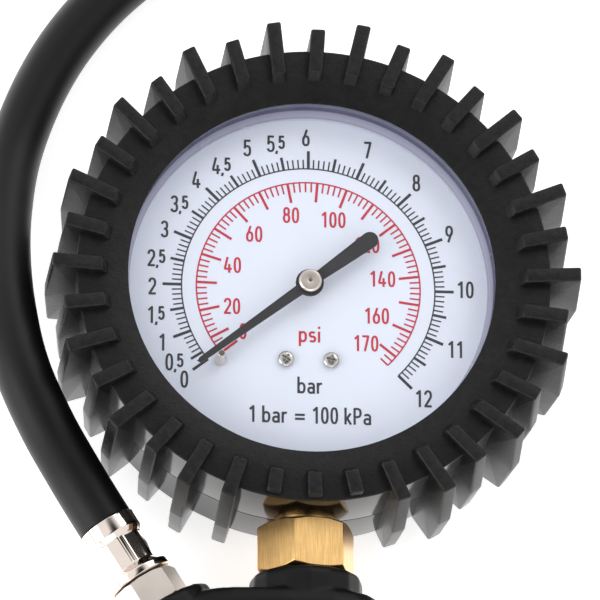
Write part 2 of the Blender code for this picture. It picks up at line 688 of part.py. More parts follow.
def build_shells(stem):
    """The boot, the case and the lens."""
    boot = turned(
        "gauge_boot",
        [
            (0, BOOT_BACK),
            (BOOT_BORE, BOOT_BACK),
            (BOOT_BORE, BOOT_FRONT - BOOT_LIP),
            (BOOT_OPENING_RADIUS, BOOT_FRONT - BOOT_LIP),
            (BOOT_OPENING_RADIUS, BOOT_FRONT - BOOT_LIP_SLOPE),
            (BOOT_BORE, BOOT_FRONT),
            (BOOT_RADIUS - BOOT_FRONT_CHAMFER, BOOT_FRONT),
            (BOOT_RADIUS, BOOT_FRONT - BOOT_FRONT_CHAMFER),
            (BOOT_RADIUS, BOOT_REAR_CHAMFER),
            (BOOT_RADIUS - BOOT_REAR_CHAMFER, 0),
            (0, 0),
        ],
        RUBBER,
        FINE_STEPS,
    )
    join(boot, lug_ring())
    cut(boot, stem_hole("boot_stem_hole", CASE_INSIDE - CASE_WALL, stem))
    case = turned(
        "gauge_case",
        [
            (0, CASE_BACK + CASE_WALL),
            (CASE_INSIDE, CASE_BACK + CASE_WALL),
            (CASE_INSIDE, CASE_RIM),
            (CASE_RADIUS, CASE_RIM),
            (CASE_RADIUS, CASE_BACK + CASE_WALL),
            (CASE_RADIUS - CASE_WALL, CASE_BACK),
            (0, CASE_BACK),
        ],
        BLACK_STEEL,
        SHELL_STEPS,
    )
    cut(case, stem_hole("case_stem_hole", CASE_INSIDE - LENS_SKIRT_WALL, stem))
    skirt = LENS_RADIUS - LENS_SKIRT_WALL
    turned(
        "gauge_lens",
        [
            (0, CASE_RIM),
            (LENS_RADIUS, CASE_RIM),
            (LENS_RADIUS, DIAL_FACE + SEAT_GAP),
            (skirt, DIAL_FACE + SEAT_GAP),
            (skirt, LENS_BACK),
            (0, LENS_BACK),
        ],
        CLEAR,
        SHELL_STEPS,
    )


# Dial and its fixings
def stop_pin_place():
    """Where the zero stop stands: just behind the pointer's edge at rest."""
    share = STOP_PIN_REACH / POINTER_LENGTH
    half_width = (POINTER_ROOT_WIDTH + (POINTER_TIP_WIDTH - POINTER_ROOT_WIDTH) * share) / 2
    offset = half_width + STOP_PIN_RADIUS + RUNNING_GAP
    return polar(STOP_PIN_REACH, compass(POINTER_ZERO_DEG) + math.degrees(math.asin(offset / STOP_PIN_REACH)))


def build_dial():
    """The printed disc, its two screws on their posts, and the zero stop."""
    half = DIAL_SCREW_SPACING / 2
    screws = {"left": (-half, -DIAL_SCREW_DROP), "right": (half, -DIAL_SCREW_DROP)}
    stop = stop_pin_place()
    screw_hole = DIAL_SCREW_RADIUS + SEAT_GAP
    holes = [circle(DIAL_HOLE_RADIUS), circle(STOP_PIN_RADIUS + SEAT_GAP, stop)]
    holes += [circle(screw_hole, place) for place in screws.values()]
    flat_curve("dial", circle(DIAL_RADIUS, count=SHELL_STEPS), DIAL_BACK, DIAL_FACE, DIAL_WHITE, holes)
    head = DIAL_FACE + SEAT_GAP
    for side, (x, y) in screws.items():
        turned(
            "dial_screw_" + side,
            [
                (0, head + DIAL_SCREW_HEAD),
                (DIAL_SCREW_HEAD_RADIUS * 0.7, head + DIAL_SCREW_HEAD),
                (DIAL_SCREW_HEAD_RADIUS, head + DIAL_SCREW_HEAD * 0.6),
                (DIAL_SCREW_HEAD_RADIUS, head),
                (DIAL_SCREW_RADIUS, head),
                (DIAL_SCREW_RADIUS, FRONT_PLATE),
                (0, FRONT_PLATE),
            ],
            STEEL,
            SMALL_STEPS,
            location=(x, y, 0),
        )
        post_foot = FRONT_PLATE + PLATE_THICKNESS + SEAT_GAP
        sleeve(
            "dial_post_" + side,
            DIAL_POST_RADIUS,
            screw_hole,
            post_foot,
            DIAL_BACK - SEAT_GAP,
            BRASS,
            location=(x, y, 0),
        )
    turned(
        "zero_stop_pin",
        [
            (0, LENS_BACK - 2 * SEAT_GAP),
            (STOP_PIN_RADIUS, LENS_BACK - 2 * SEAT_GAP),
            (STOP_PIN_RADIUS, POINTER_BACK - SEAT_GAP),
            (STOP_PIN_FOOT_RADIUS, DIAL_FACE + SEAT_GAP),
            (STOP_PIN_RADIUS, DIAL_FACE + SEAT_GAP),
            (STOP_PIN_RADIUS, DIAL_BACK - SEAT_GAP),
            (0, DIAL_BACK - SEAT_GAP),
        ],
        STEEL,
        SMALL_STEPS,
        location=(*stop, 0),
    )


# Pointer, pinion and sector
def pointer_outline():
    """The pointer along local +Y: a slim blade, the hub ring, and a tail that widens to a round end."""
    tip, root, tail = POINTER_TIP_WIDTH / 2, POINTER_ROOT_WIDTH / 2, POINTER_TAIL_WIDTH / 2
    hub_deg = math.degrees(math.asin(root / POINTER_HUB_RADIUS))
    end = POINTER_TAIL - tail
    return [
        *arc(tip, 0, 180, 7, (0, POINTER_LENGTH - tip)),
        *arc(POINTER_HUB_RADIUS, 90 + hub_deg, 270 - hub_deg, 9),
        *arc(tail, 180, 360, 11, (0, -end)),
        *arc(POINTER_HUB_RADIUS, -90 + hub_deg, 90 - hub_deg, 9),
    ]


def tooth_flank(teeth, addendum, dedendum):
    """(radius, half angle) points up an involute tooth, with a radial foot inside the base circle."""
    pitch = teeth * MODULE / 2
    base = pitch * math.cos(PRESSURE_ANGLE)
    root, tip = pitch - dedendum, pitch + addendum
    half = math.pi / (2 * teeth) - BACKLASH / (4 * pitch) + math.tan(PRESSURE_ANGLE) - PRESSURE_ANGLE
    foot = [root] if root > base else [root, base + 0.01 * MM]
    flank = []
    for radius in (*foot, pitch, tip):
        pressure = math.acos(min(1.0, base / radius))
        flank.append((radius, math.degrees(half - math.tan(pressure) + pressure)))
    return flank


def toothed_arc(teeth, flank, first_deg, count):
    """Flat points over a run of teeth, turning left from the first tooth's middle."""
    points = []
    for index in range(count):
        middle = first_deg + 360.0 * index / teeth
        points += [polar(radius, middle - half) for radius, half in flank]
        points += [polar(radius, middle + half) for radius, half in flank[::-1]]
    return points


def sector_outline():
    """The sector about its arbor: teeth, the two spokes' edges, the hub and the tail for the link."""
    facing = SECTOR_DIRECTION_DEG + 180.0
    pitch_deg = 360.0 / SECTOR_TEETH
    below = math.ceil((SECTOR_SWEEP_DEG + SECTOR_MARGIN_DEG) / pitch_deg)
    above = math.ceil(SECTOR_MARGIN_DEG / pitch_deg)
    first, last = facing - below * pitch_deg, facing + above * pitch_deg
    flank = tooth_flank(SECTOR_TEETH, 0.7 * MODULE, 1.3 * MODULE)
    tail_at = polar(SECTOR_TAIL, SECTOR_DIRECTION_DEG)
    outline = [
        *toothed_arc(SECTOR_TEETH, flank, first, below + above + 1),
        *arc(SECTOR_HUB_RADIUS, last + 25, SECTOR_DIRECTION_DEG + 330, 7),
        *arc(SECTOR_TAIL_RADIUS, SECTOR_DIRECTION_DEG - 75, SECTOR_DIRECTION_DEG + 75, 7, tail_at),
        *arc(SECTOR_HUB_RADIUS, SECTOR_DIRECTION_DEG + 30, first - 25, 7),
    ]
    rim_inside = SECTOR_PITCH - SECTOR_RIM
    window = arc(rim_inside, first + 8, last - 8, 9) + arc(SECTOR_HUB_RADIUS * 2, last - 14, first + 14, 5)
    return outline, window, tail_at


def build_pointer_train():
    """What turns on the dial's axis: pointer, bush, pinion arbor and hairspring."""
    turn = math.radians(-POINTER_ZERO_DEG)
    flat_curve(
        "pointer",
        pointer_outline(),
        POINTER_BACK,
        POINTER_FRONT,
        POINTER_GREY,
        [circle(BUSH_NECK_RADIUS + RUNNING_GAP)],
        rotation=(0, 0, turn),
    )
    bore = ARBOR_RADIUS + RUNNING_GAP
    arbor_top = BUSH_UNDERSIDE
    turned(
        "pointer_bush",
        [
            (0, BUSH_UNDERSIDE + BUSH_HEAD),
            (BUSH_RADIUS * 0.8, BUSH_UNDERSIDE + BUSH_HEAD),
            (BUSH_RADIUS, BUSH_UNDERSIDE + BUSH_HEAD * 0.7),
            (BUSH_RADIUS, BUSH_UNDERSIDE),
            (BUSH_NECK_RADIUS, BUSH_UNDERSIDE),
            (BUSH_NECK_RADIUS, DIAL_FACE + SEAT_GAP),
            (bore, DIAL_FACE + SEAT_GAP),
            (bore, arbor_top + RUNNING_GAP),
            (0, arbor_top + RUNNING_GAP),
        ],
        NICKEL,
        SMALL_STEPS,
    )
    collet = LINK_FRONT + SEAT_GAP
    arbor = turned(
        "pinion_arbor",
        [
            (0, arbor_top),
            (ARBOR_RADIUS, arbor_top),
            (ARBOR_RADIUS, collet + 1.6 * MM),
            (COLLET_RADIUS, collet + 1.6 * MM),
            (COLLET_RADIUS, collet),
            (ARBOR_RADIUS, collet),
            (ARBOR_RADIUS, REAR_PLATE - SEAT_GAP),
            (0, REAR_PLATE - SEAT_GAP),
        ],
        STEEL,
        SMALL_STEPS,
    )
    flank = tooth_flank(PINION_TEETH, 0.9 * MODULE, 1.1 * MODULE)
    first = SECTOR_DIRECTION_DEG + 180.0 / PINION_TEETH
    teeth = toothed_arc(PINION_TEETH, flank, first, PINION_TEETH)
    pinion = flat_curve("pinion_teeth", teeth, SECTOR_BACK - SEAT_GAP, SECTOR_FRONT + SEAT_GAP)
    join(arbor, as_mesh(pinion))
    count = int(HAIRSPRING_TURNS * 12) + 1
    inner = COLLET_RADIUS + RUNNING_GAP + HAIRSPRING_WIRE
    spiral = []
    for i in range(count):
        share = i / (count - 1)
        radius = inner + (HAIRSPRING_RADIUS - inner) * share
        spiral.append((*polar(radius, 360.0 * HAIRSPRING_TURNS * share), collet + 0.8 * MM))
    wire("hairspring", spiral, HAIRSPRING_WIRE, NICKEL, resolution=0)


def build_sector_and_link():
    """The sector on its arbor, and the link to the free end of the tube."""
    centre = polar(PINION_PITCH + SECTOR_PITCH, SECTOR_DIRECTION_DEG)
    outline, window, tail_at = sector_outline()
    pin_hole = LINK_PIN_RADIUS + RUNNING_GAP
    arbor_hole = SECTOR_ARBOR_RADIUS + RUNNING_GAP
    holes = [window, circle(arbor_hole), circle(pin_hole, tail_at)]
    flat_curve("sector_gear", outline, SECTOR_BACK, SECTOR_FRONT, BRASS, holes, location=(*centre, 0))
    plate_top = FRONT_PLATE + PLATE_THICKNESS
    rod("sector_arbor", SECTOR_ARBOR_RADIUS, REAR_PLATE, plate_top, STEEL, location=(*centre, 0))
    upper = Vector(centre) + Vector(tail_at)
    beyond = math.degrees(END_PIECE_BEYOND_TUBE / TUBE_RADIUS)
    lower = Vector(polar(TUBE_RADIUS - END_PIECE_REACH, TUBE_END_DEG - 0.85 * beyond))
    rod("link_pin_upper", LINK_PIN_RADIUS, SECTOR_BACK, LINK_FRONT, STEEL, location=(*upper, 0))
    rod("link_pin_lower", LINK_PIN_RADIUS, LINK_BACK, END_PIECE_FRONT, STEEL, location=(*lower, 0))
    ends = [(*p, LINK_RADIUS) for p in (upper, lower)]
    link_holes = [circle(pin_hole, p) for p in (upper, lower)]
    flat_curve("tip_link", belt(*ends), LINK_BACK, LINK_FRONT, BRASS, link_holes)
    seat = polar(TUBE_RADIUS, TUBE_END_DEG - beyond)
    outline = belt((*lower, LINK_RADIUS), (*seat, END_PIECE_TIP_RADIUS))
    flat_curve("tube_end_piece", outline, END_PIECE_BACK, END_PIECE_FRONT, BRASS, [circle(pin_hole, lower)])


# Tube, plates and socket
def build_tube():
    """The pressure tube: a round tube on an arc, flattened to its oval section."""
    points = [(*p, 0.0) for p in arc(TUBE_RADIUS, TUBE_START_DEG, TUBE_END_DEG, 26)]
    tube = as_mesh(wire("bourdon_tube", points, TUBE_THICKNESS / 2, BRASS, resolution=2))
    tube.data.transform(Matrix.Diagonal((1.0, 1.0, TUBE_WIDTH / TUBE_THICKNESS, 1.0)))
    tube.location = (0, 0, TUBE_HEIGHT)


def build_plates():
    """Two plates on pillars that hold the arbors, screwed to the socket's block from behind."""
    screw_x = MOVEMENT_SCREW_SPACING / 2
    screw_y = BLOCK_BOTTOM + BLOCK_HEIGHT - 6.0 * MM
    screws = {"left": (-screw_x, screw_y), "right": (screw_x, screw_y)}
    centre = polar(PINION_PITCH + SECTOR_PITCH, SECTOR_DIRECTION_DEG)
    corner = PILLAR_RADIUS * 2
    outline = belt(
        (0, 0, corner * 1.5),
        (*centre, corner),
        (*PILLAR_LEFT, corner),
        (*PILLAR_RIGHT, corner),
        (*screws["left"], corner),
        (*screws["right"], corner),
    )
    screw_hole = MOVEMENT_SCREW_RADIUS + SEAT_GAP
    holes = [circle(ARBOR_RADIUS + RUNNING_GAP), circle(SECTOR_ARBOR_RADIUS + RUNNING_GAP, centre)]
    holes += [circle(screw_hole, place) for place in screws.values()]
    half = DIAL_SCREW_SPACING / 2
    dial_holes = [circle(DIAL_SCREW_RADIUS + SEAT_GAP, (x, -DIAL_SCREW_DROP)) for x in (-half, half)]
    flat_curve("movement_rear_plate", outline, REAR_PLATE, REAR_PLATE + PLATE_THICKNESS, BRASS, holes)
    front_top = FRONT_PLATE + PLATE_THICKNESS
    flat_curve("movement_front_plate", outline, FRONT_PLATE, front_top, BRASS, holes + dial_holes)
    for side, place in (("left", PILLAR_LEFT), ("right", PILLAR_RIGHT)):
        rod("movement_pillar_" + side, PILLAR_RADIUS, BLOCK_BACK, BLOCK_FRONT, BRASS, location=(*place, 0))
    head = REAR_PLATE - SEAT_GAP
    for side, place in screws.items():
        turned(
            "movement_screw_" + side,
            [
                (0, front_top),
                (MOVEMENT_SCREW_RADIUS, front_top),
                (MOVEMENT_SCREW_RADIUS, head),
                (MOVEMENT_SCREW_HEAD_RADIUS, head),
                (MOVEMENT_SCREW_HEAD_RADIUS, head - MOVEMENT_SCREW_HEAD),
                (0, head - MOVEMENT_SCREW_HEAD),
            ],
            STEEL,
            SMALL_STEPS,
            location=(*place, 0),
        )
    return screws


def build_socket(stem, screws):
    """The brass socket: block for the movement, neck, hexagon and the thread that enters the pistol."""
    spigot = DIAL_RADIUS + SEAT_GAP
    end = HEX_END + STEM_THREAD_LENGTH
    socket = turned(
        "gauge_socket",
        [
            (0, end),
            (STEM_THREAD_RADIUS - 1.0 * MM, end),
            (STEM_THREAD_RADIUS, end - 1.0 * MM),
            (STEM_THREAD_RADIUS, HEX_END - OVERLAP),
            (NECK_RADIUS, HEX_START + OVERLAP),
            (NECK_RADIUS, spigot),
            (0.45 * NECK_RADIUS, spigot),
            (0.45 * NECK_RADIUS, -BLOCK_BOTTOM - 4.0 * MM),
            (0, -BLOCK_BOTTOM - 4.0 * MM),
        ],
        BRASS,
        parent=stem,
    )
    nut = hexagon(
        "socket_hexagon", HEX_ACROSS_FLATS, HEX_START, HEX_END, 1.2 * MM, turn_deg=HEX_TURN_DEG, parent=stem
    )
    half = BLOCK_WIDTH / 2
    block_top = BLOCK_BOTTOM + BLOCK_HEIGHT
    block = box("socket_block", (-half, BLOCK_BOTTOM, BLOCK_BACK), (half, block_top, BLOCK_FRONT))
    join(socket, nut, block)
    hole = MOVEMENT_SCREW_RADIUS + SEAT_GAP
    for side, place in screws.items():
        name = "block_hole_" + side
        cut(socket, rod(name, hole, BLOCK_BACK - OVERLAP, BLOCK_FRONT + OVERLAP, location=(*place, 0)))


# Pistol body
def body_rings():
    """Rounded-square rings down the body, eased between the listed sections."""
    count = (len(BODY_SECTIONS) - 1) * BODY_RINGS_PER_SECTION + 1
    rows = smooth_path([Vector(section) for section in BODY_SECTIONS], count)
    rings = []
    for depth, front, back, half, squareness in rows:
        ring = []
        for i in range(BODY_RING_POINTS):
            angle = 2 * math.pi * i / BODY_RING_POINTS
            c, s = math.cos(angle), math.sin(angle)
            x = math.copysign(abs(c) ** (2 / squareness), c)
            z = math.copysign(abs(s) ** (2 / squareness), s)
            across = (front + back) / 2 + (back - front) / 2 * x
            ring.append((across, -GAUGE_BOSS_TOP - depth, STEM_HEIGHT + half * z))
        rings.append(ring)
    return rings


def bore_between(name, start, end, radius):
    """A cutter for a drilled passage between two points."""
    along = end - start
    return rod(
        name,
        radius,
        0,
        along.length,
        location=start,
        rotation=along.to_track_quat("Z", "Y").to_euler(),
    )


def build_body(stem, port, inlet, valve):
    """The cast pistol body with its bosses, trigger slot, valve bore and air passages."""
    body = loft("gun_body", body_rings(), CAST_BLACK)
    fillet = GAUGE_BOSS_FILLET
    rim = GAUGE_BOSS_RADIUS - fillet
    top = GAUGE_BOSS_TOP
    shoulder = [(r, h) for h, r in arc(fillet, 180, 90, 5, (top + fillet, rim))]
    gauge_boss = turned(
        "gauge_boss",
        [
            (0, top + GAUGE_BOSS_LENGTH),
            (GAUGE_BOSS_RADIUS, top + GAUGE_BOSS_LENGTH),
            *shoulder[::-1],
            (0, top),
        ],
        parent=stem,
        rotation=(0, 0, OFF_STEP),
    )
    port_boss = turned(
        "port_boss",
        [
            (0, 0),
            (PORT_BOSS_RADIUS - 0.8 * MM, 0),
            (PORT_BOSS_RADIUS, -0.8 * MM),
            (PORT_BOSS_RADIUS, -PORT_BOSS_LENGTH),
            (0, -PORT_BOSS_LENGTH),
        ],
        parent=port,
        rotation=(0, 0, OFF_STEP),
    )
    inlet_boss = turned(
        "inlet_boss",
        [
            (0, 0),
            (INLET_BOSS_RADIUS - 0.8 * MM, 0),
            (INLET_BOSS_RADIUS, -0.8 * MM),
            (INLET_BOSS_RADIUS, -INLET_BOSS_LENGTH),
            (0, -INLET_BOSS_LENGTH),
        ],
        parent=inlet,
        rotation=(0, 0, OFF_STEP),
    )
    join(body, gauge_boss, port_boss, inlet_boss)

    stem_bore = STEM_THREAD_RADIUS + SEAT_GAP
    stem_floor = HEX_END + STEM_THREAD_LENGTH + SEAT_GAP
    port_bore = PORT_THREAD_RADIUS + SEAT_GAP
    inlet_bore = INLET_THREAD_RADIUS + SEAT_GAP
    half_slot = TRIGGER_WIDTH / 2 + TRIGGER_SIDE_GAP
    slot_back = TRIGGER_PIVOT.x + TRIGGER_SLOT_BACK
    slot_top = TRIGGER_PIVOT.y + TRIGGER_KNUCKLE_RADIUS + OVERLAP
    far_front = TRIGGER_PIVOT.x - 3 * TRIGGER_KNUCKLE_RADIUS
    gallery_start = VALVE_SEAT_X - VALVE_GALLERY_LENGTH
    spot_face = VALVE_CAP_FLANGE - SEAT_GAP
    spot_radius = VALVE_CAP_ACROSS_FLATS / math.sqrt(3) + 2 * SEAT_GAP
    cut(
        body,
        rod("stem_bore", stem_bore, top - OVERLAP, stem_floor, steps=ROUND_STEPS, parent=stem),
        rod("port_bore", port_bore, -PORT_THREAD_LENGTH - SEAT_GAP, OVERLAP, parent=port),
        rod("inlet_bore", inlet_bore, -INLET_THREAD_LENGTH - SEAT_GAP, OVERLAP, parent=inlet),
        box(
            "trigger_slot",
            (far_front, TRIGGER_PIVOT.y - 8 * TRIGGER_KNUCKLE_RADIUS, STEM_HEIGHT - half_slot),
            (slot_back, slot_top, STEM_HEIGHT + half_slot),
        ),
        rod(
            "trigger_pin_hole",
            TRIGGER_PIN_RADIUS + RUNNING_GAP,
            -TRIGGER_PIN_LENGTH,
            TRIGGER_PIN_LENGTH,
            location=TRIGGER_PIVOT,
        ),
        turned(
            "valve_bore",
            [
                (0, spot_face + PORT_BOSS_LENGTH),
                (spot_radius, spot_face + PORT_BOSS_LENGTH),
                (spot_radius, spot_face),
                (VALVE_CHAMBER_RADIUS, spot_face),
                (VALVE_CHAMBER_RADIUS, VALVE_SEAT_X),
                (VALVE_GALLERY_RADIUS, VALVE_SEAT_X),
                (VALVE_GALLERY_RADIUS, gallery_start),
                (VALVE_STEM_RADIUS + SEAT_GAP, gallery_start),
                (VALVE_STEM_RADIUS + SEAT_GAP, slot_back - OVERLAP),
                (0, slot_back - OVERLAP),
            ],
            parent=valve,
        ),
    )
    gallery = VALVE_AXIS + Vector((gallery_start + VALVE_GALLERY_LENGTH / 2 - VALVE_AXIS.x, 0, 0))
    gauge_end = Vector((0, -stem_floor + OVERLAP, STEM_HEIGHT))
    port_end = PORT_FACE - port_direction() * (PORT_THREAD_LENGTH - OVERLAP)
    inlet_end = INLET_FACE - inlet_direction() * (INLET_THREAD_LENGTH - OVERLAP)
    chamber_end = inlet_end - inlet_direction() * ((VALVE_AXIS.y - inlet_end.y) / -inlet_direction().y)
    cut(
        body,
        bore_between("gauge_passage", gallery, gauge_end, GALLERY_RADIUS),
        bore_between("hose_passage", gallery, port_end, GALLERY_RADIUS),
        bore_between("inlet_passage", inlet_end, chamber_end, INLET_BORE_RADIUS),
    )


def port_direction():
    """The way that the hose leaves the body."""
    lean = math.radians(PORT_LEAN_DEG)
    return Vector((-math.sin(lean), math.cos(lean), 0))


def inlet_direction():
    """The way that the inlet points out of the butt."""
    rake = math.radians(GRIP_RAKE_DEG)
    return Vector((math.sin(rake), -math.cos(rake), 0))


# Trigger and valve
def trigger_outline():
    """The trigger about its pivot: a knuckle over the pin, a hollow for the fingers and a curled tip."""
    front = smooth_path([Vector(p) * MM for p in TRIGGER_FRONT], 9)
    back = smooth_path([Vector(p) * MM for p in TRIGGER_BACK], 9)
    return [*arc(TRIGGER_KNUCKLE_RADIUS, -10, 190, 11), *(tuple(p) for p in front), *(tuple(p) for p in back)]


def build_trigger_and_valve(valve):
    """The trigger on its pin, and the sprung valve that it pushes."""
    half = TRIGGER_WIDTH / 2
    hole = circle(TRIGGER_PIN_RADIUS + RUNNING_GAP)
    outline = trigger_outline()
    trigger = as_mesh(flat_curve("trigger", outline, -half, half, CAST_BLACK, [hole], location=TRIGGER_PIVOT))
    round_edges(trigger, TRIGGER_EDGE_ROUND)
    pin_half = TRIGGER_PIN_LENGTH / 2
    rod("trigger_pin", TRIGGER_PIN_RADIUS, -pin_half, pin_half, STEEL, location=TRIGGER_PIVOT)

    nose = TRIGGER_PIVOT.x + TRIGGER_BACK[-1][0] * MM + SEAT_GAP
    head = VALVE_HEAD_START
    sleeve(
        "valve_seal",
        VALVE_SEAL_RADIUS,
        VALVE_STEM_RADIUS + RUNNING_GAP,
        SEAL_START,
        SEAL_START + VALVE_SEAL_THICKNESS,
        SEAL_RUBBER,
        parent=valve,
    )
    turned(
        "valve_stem",
        [
            (0, head + VALVE_HEAD + VALVE_TAIL_LENGTH),
            (VALVE_TAIL_RADIUS, head + VALVE_HEAD + VALVE_TAIL_LENGTH),
            (VALVE_TAIL_RADIUS, head + VALVE_HEAD),
            (VALVE_HEAD_RADIUS, head + VALVE_HEAD),
            (VALVE_HEAD_RADIUS, head),
            (VALVE_STEM_RADIUS, head),
            (VALVE_STEM_RADIUS, nose + VALVE_NOSE_TAPER),
            (VALVE_STEM_RADIUS - VALVE_NOSE_TAPER, nose),
            (0, nose),
        ],
        STEEL,
        SMALL_STEPS,
        parent=valve,
    )
    spring_end = VALVE_SPRING_START + VALVE_SPRING_LENGTH
    coil = helix(VALVE_SPRING_RADIUS, VALVE_SPRING_START, spring_end, VALVE_SPRING_TURNS)
    wire("valve_spring", coil, VALVE_SPRING_WIRE, STEEL, resolution=1, parent=valve)
    plug = VALVE_CHAMBER_RADIUS - SEAT_GAP
    cap_end = VALVE_CAP_FLANGE + VALVE_CAP_HEAD
    flats = VALVE_CAP_ACROSS_FLATS
    cap = hexagon("valve_cap", flats, VALVE_CAP_FLANGE, cap_end, 0.8 * MM, BRASS, parent=valve)
    join(cap, rod("cap_thread", plug, VALVE_CAP_START, VALVE_CAP_FLANGE + OVERLAP, parent=valve))


# Air inlet, hose and fittings
def build_inlet(inlet):
    """The plug nipple: thread in the butt, hexagon, and the nose that a coupling closes over."""
    hexagon_start = SEAT_GAP
    nose = hexagon_start + INLET_HEX_LENGTH
    end = nose + INLET_NOSE_LENGTH
    nipple = turned(
        "inlet_nipple",
        [
            (INLET_BORE_RADIUS, end),
            (INLET_NOSE_RADIUS, end),
            (INLET_NOSE_RADIUS + 0.3 * MM, end - 8.0 * MM),
            (INLET_COLLAR_RADIUS, end - 10.0 * MM),
            (INLET_COLLAR_RADIUS, end - 12.5 * MM),
            (INLET_NOSE_RADIUS, end - 14.0 * MM),
            (INLET_NOSE_RADIUS, end - 17.0 * MM),
            (INLET_COLLAR_RADIUS, end - 18.5 * MM),
            (INLET_COLLAR_RADIUS, nose - OVERLAP),
            (INLET_THREAD_RADIUS, nose - OVERLAP),
            (INLET_THREAD_RADIUS, -INLET_THREAD_LENGTH),
            (INLET_BORE_RADIUS, -INLET_THREAD_LENGTH),
        ],
        STEEL,
        closed=True,
        parent=inlet,
    )
    nut = hexagon("inlet_hexagon", INLET_HEX_ACROSS_FLATS, hexagon_start, nose, 1.0 * MM, parent=inlet)
    cut(nut, rod("inlet_hexagon_bore", INLET_BORE_RADIUS + OVERLAP, -OVERLAP, end, parent=inlet))
    join(nipple, nut)


def ferrule(name, start, end, **place):
    """A sleeve from its flange at start to its collar at end, either way along local Z, crimped in between."""
    way = math.copysign(1.0, end - start)
    inner = BARB_RADIUS + SEAT_GAP
    waist_start = start + way * 2.8 * MM
    waist_end = end - way * 4.0 * MM
    profile = [
        (inner, start),
        (FERRULE_FLANGE_RADIUS, start),
        (FERRULE_FLANGE_RADIUS, start + way * 1.2 * MM),
        (FERRULE_WAIST_RADIUS, waist_start),
        (FERRULE_WAIST_RADIUS, waist_end),
        (FERRULE_COLLAR_RADIUS, end - way * 3.0 * MM),
        (FERRULE_COLLAR_RADIUS, end),
        (inner, end),
    ]
    if way > 0:
        profile.reverse()
    crimped = turned(name, profile, CHROME, closed=True, **place)
    corner = (FERRULE_WAIST_RADIUS - CRIMP_BITE) / math.cos(math.pi / CRIMP_SIDES)
    near, far = sorted((waist_start + way * CRIMP_BITE, waist_end - way * CRIMP_BITE))
    outer = 2 * FERRULE_FLANGE_RADIUS
    turn = (0, 0, OFF_STEP)
    cut(crimped, sleeve(name + "_die", outer, corner, near, far, steps=CRIMP_SIDES, rotation=turn, **place))
    return crimped


def build_hose(port, chuck):
    """The hose, the fitting that screws into the body and the sleeve crimped at each end."""
    hex_start = SEAT_GAP
    hex_end = hex_start + FITTING_HEX_LENGTH
    sleeve_start = hex_end + SEAT_GAP
    sleeve_end = sleeve_start + FERRULE_LENGTH
    fitting = turned(
        "hose_fitting",
        [
            (GALLERY_RADIUS, sleeve_end - SEAT_GAP),
            (BARB_RADIUS, sleeve_end - SEAT_GAP),
            (BARB_RADIUS, hex_end - OVERLAP),
            (PORT_THREAD_RADIUS, hex_end - OVERLAP),
            (PORT_THREAD_RADIUS, -PORT_THREAD_LENGTH),
            (GALLERY_RADIUS, -PORT_THREAD_LENGTH),
        ],
        CHROME,
        SMALL_STEPS,
        closed=True,
        parent=port,
    )
    nut = hexagon("fitting_hexagon", FITTING_ACROSS_FLATS, hex_start, hex_end, 0.8 * MM, parent=port)
    cut(nut, rod("fitting_hexagon_bore", BARB_RADIUS - OVERLAP / 2, -OVERLAP, sleeve_end, parent=port))
    join(fitting, nut)
    ferrule("hose_ferrule_near", sleeve_start, sleeve_end, parent=port)
    ferrule("hose_ferrule_far", SEAT_GAP + FERRULE_LENGTH, SEAT_GAP, parent=chuck)
    out = port_direction()
    start = PORT_FACE + out * HOSE_START_FROM_FACE
    route = [start, start + out * HOSE_RADIUS, *(Vector(p) * MM for p in HOSE_ROUTE_MM), CHUCK_ORIGIN]
    wire("air_hose", smooth_path(route, HOSE_POINTS), HOSE_RADIUS, HOSE_RUBBER)


# Chuck
def lever_outline():
    """The thumb lever in (along, height) about its pivot: a raised pad behind and a hooked jaw in front."""
    half = LEVER_THICKNESS / 2
    knuckle = LEVER_PIN_RADIUS + LEVER_THICKNESS * 0.75
    jaw_tip = CHUCK_MOUTH_RADIUS - LEVER_JAW_BITE - LEVER_PIVOT_HEIGHT
    back = -LEVER_PAD_REACH
    pad = LEVER_PAD_RISE
    return [
        (back, pad - half),
        (-LEVER_PAD_REACH * 0.45, pad * 0.25 - half),
        *arc(knuckle, 200, 340, 7),
        (LEVER_JAW_REACH - LEVER_JAW_WIDTH, -half),
        (LEVER_JAW_REACH - LEVER_JAW_WIDTH, jaw_tip),
        (LEVER_JAW_REACH - LEVER_JAW_WIDTH * 0.3, jaw_tip),
        (LEVER_JAW_REACH, jaw_tip + LEVER_JAW_WIDTH),
        (LEVER_JAW_REACH, half),
        *arc(knuckle, 20, 160, 7),
        (-LEVER_PAD_REACH * 0.45, pad * 0.25 + half),
        (back, pad + half),
        (back - half, pad),
    ]


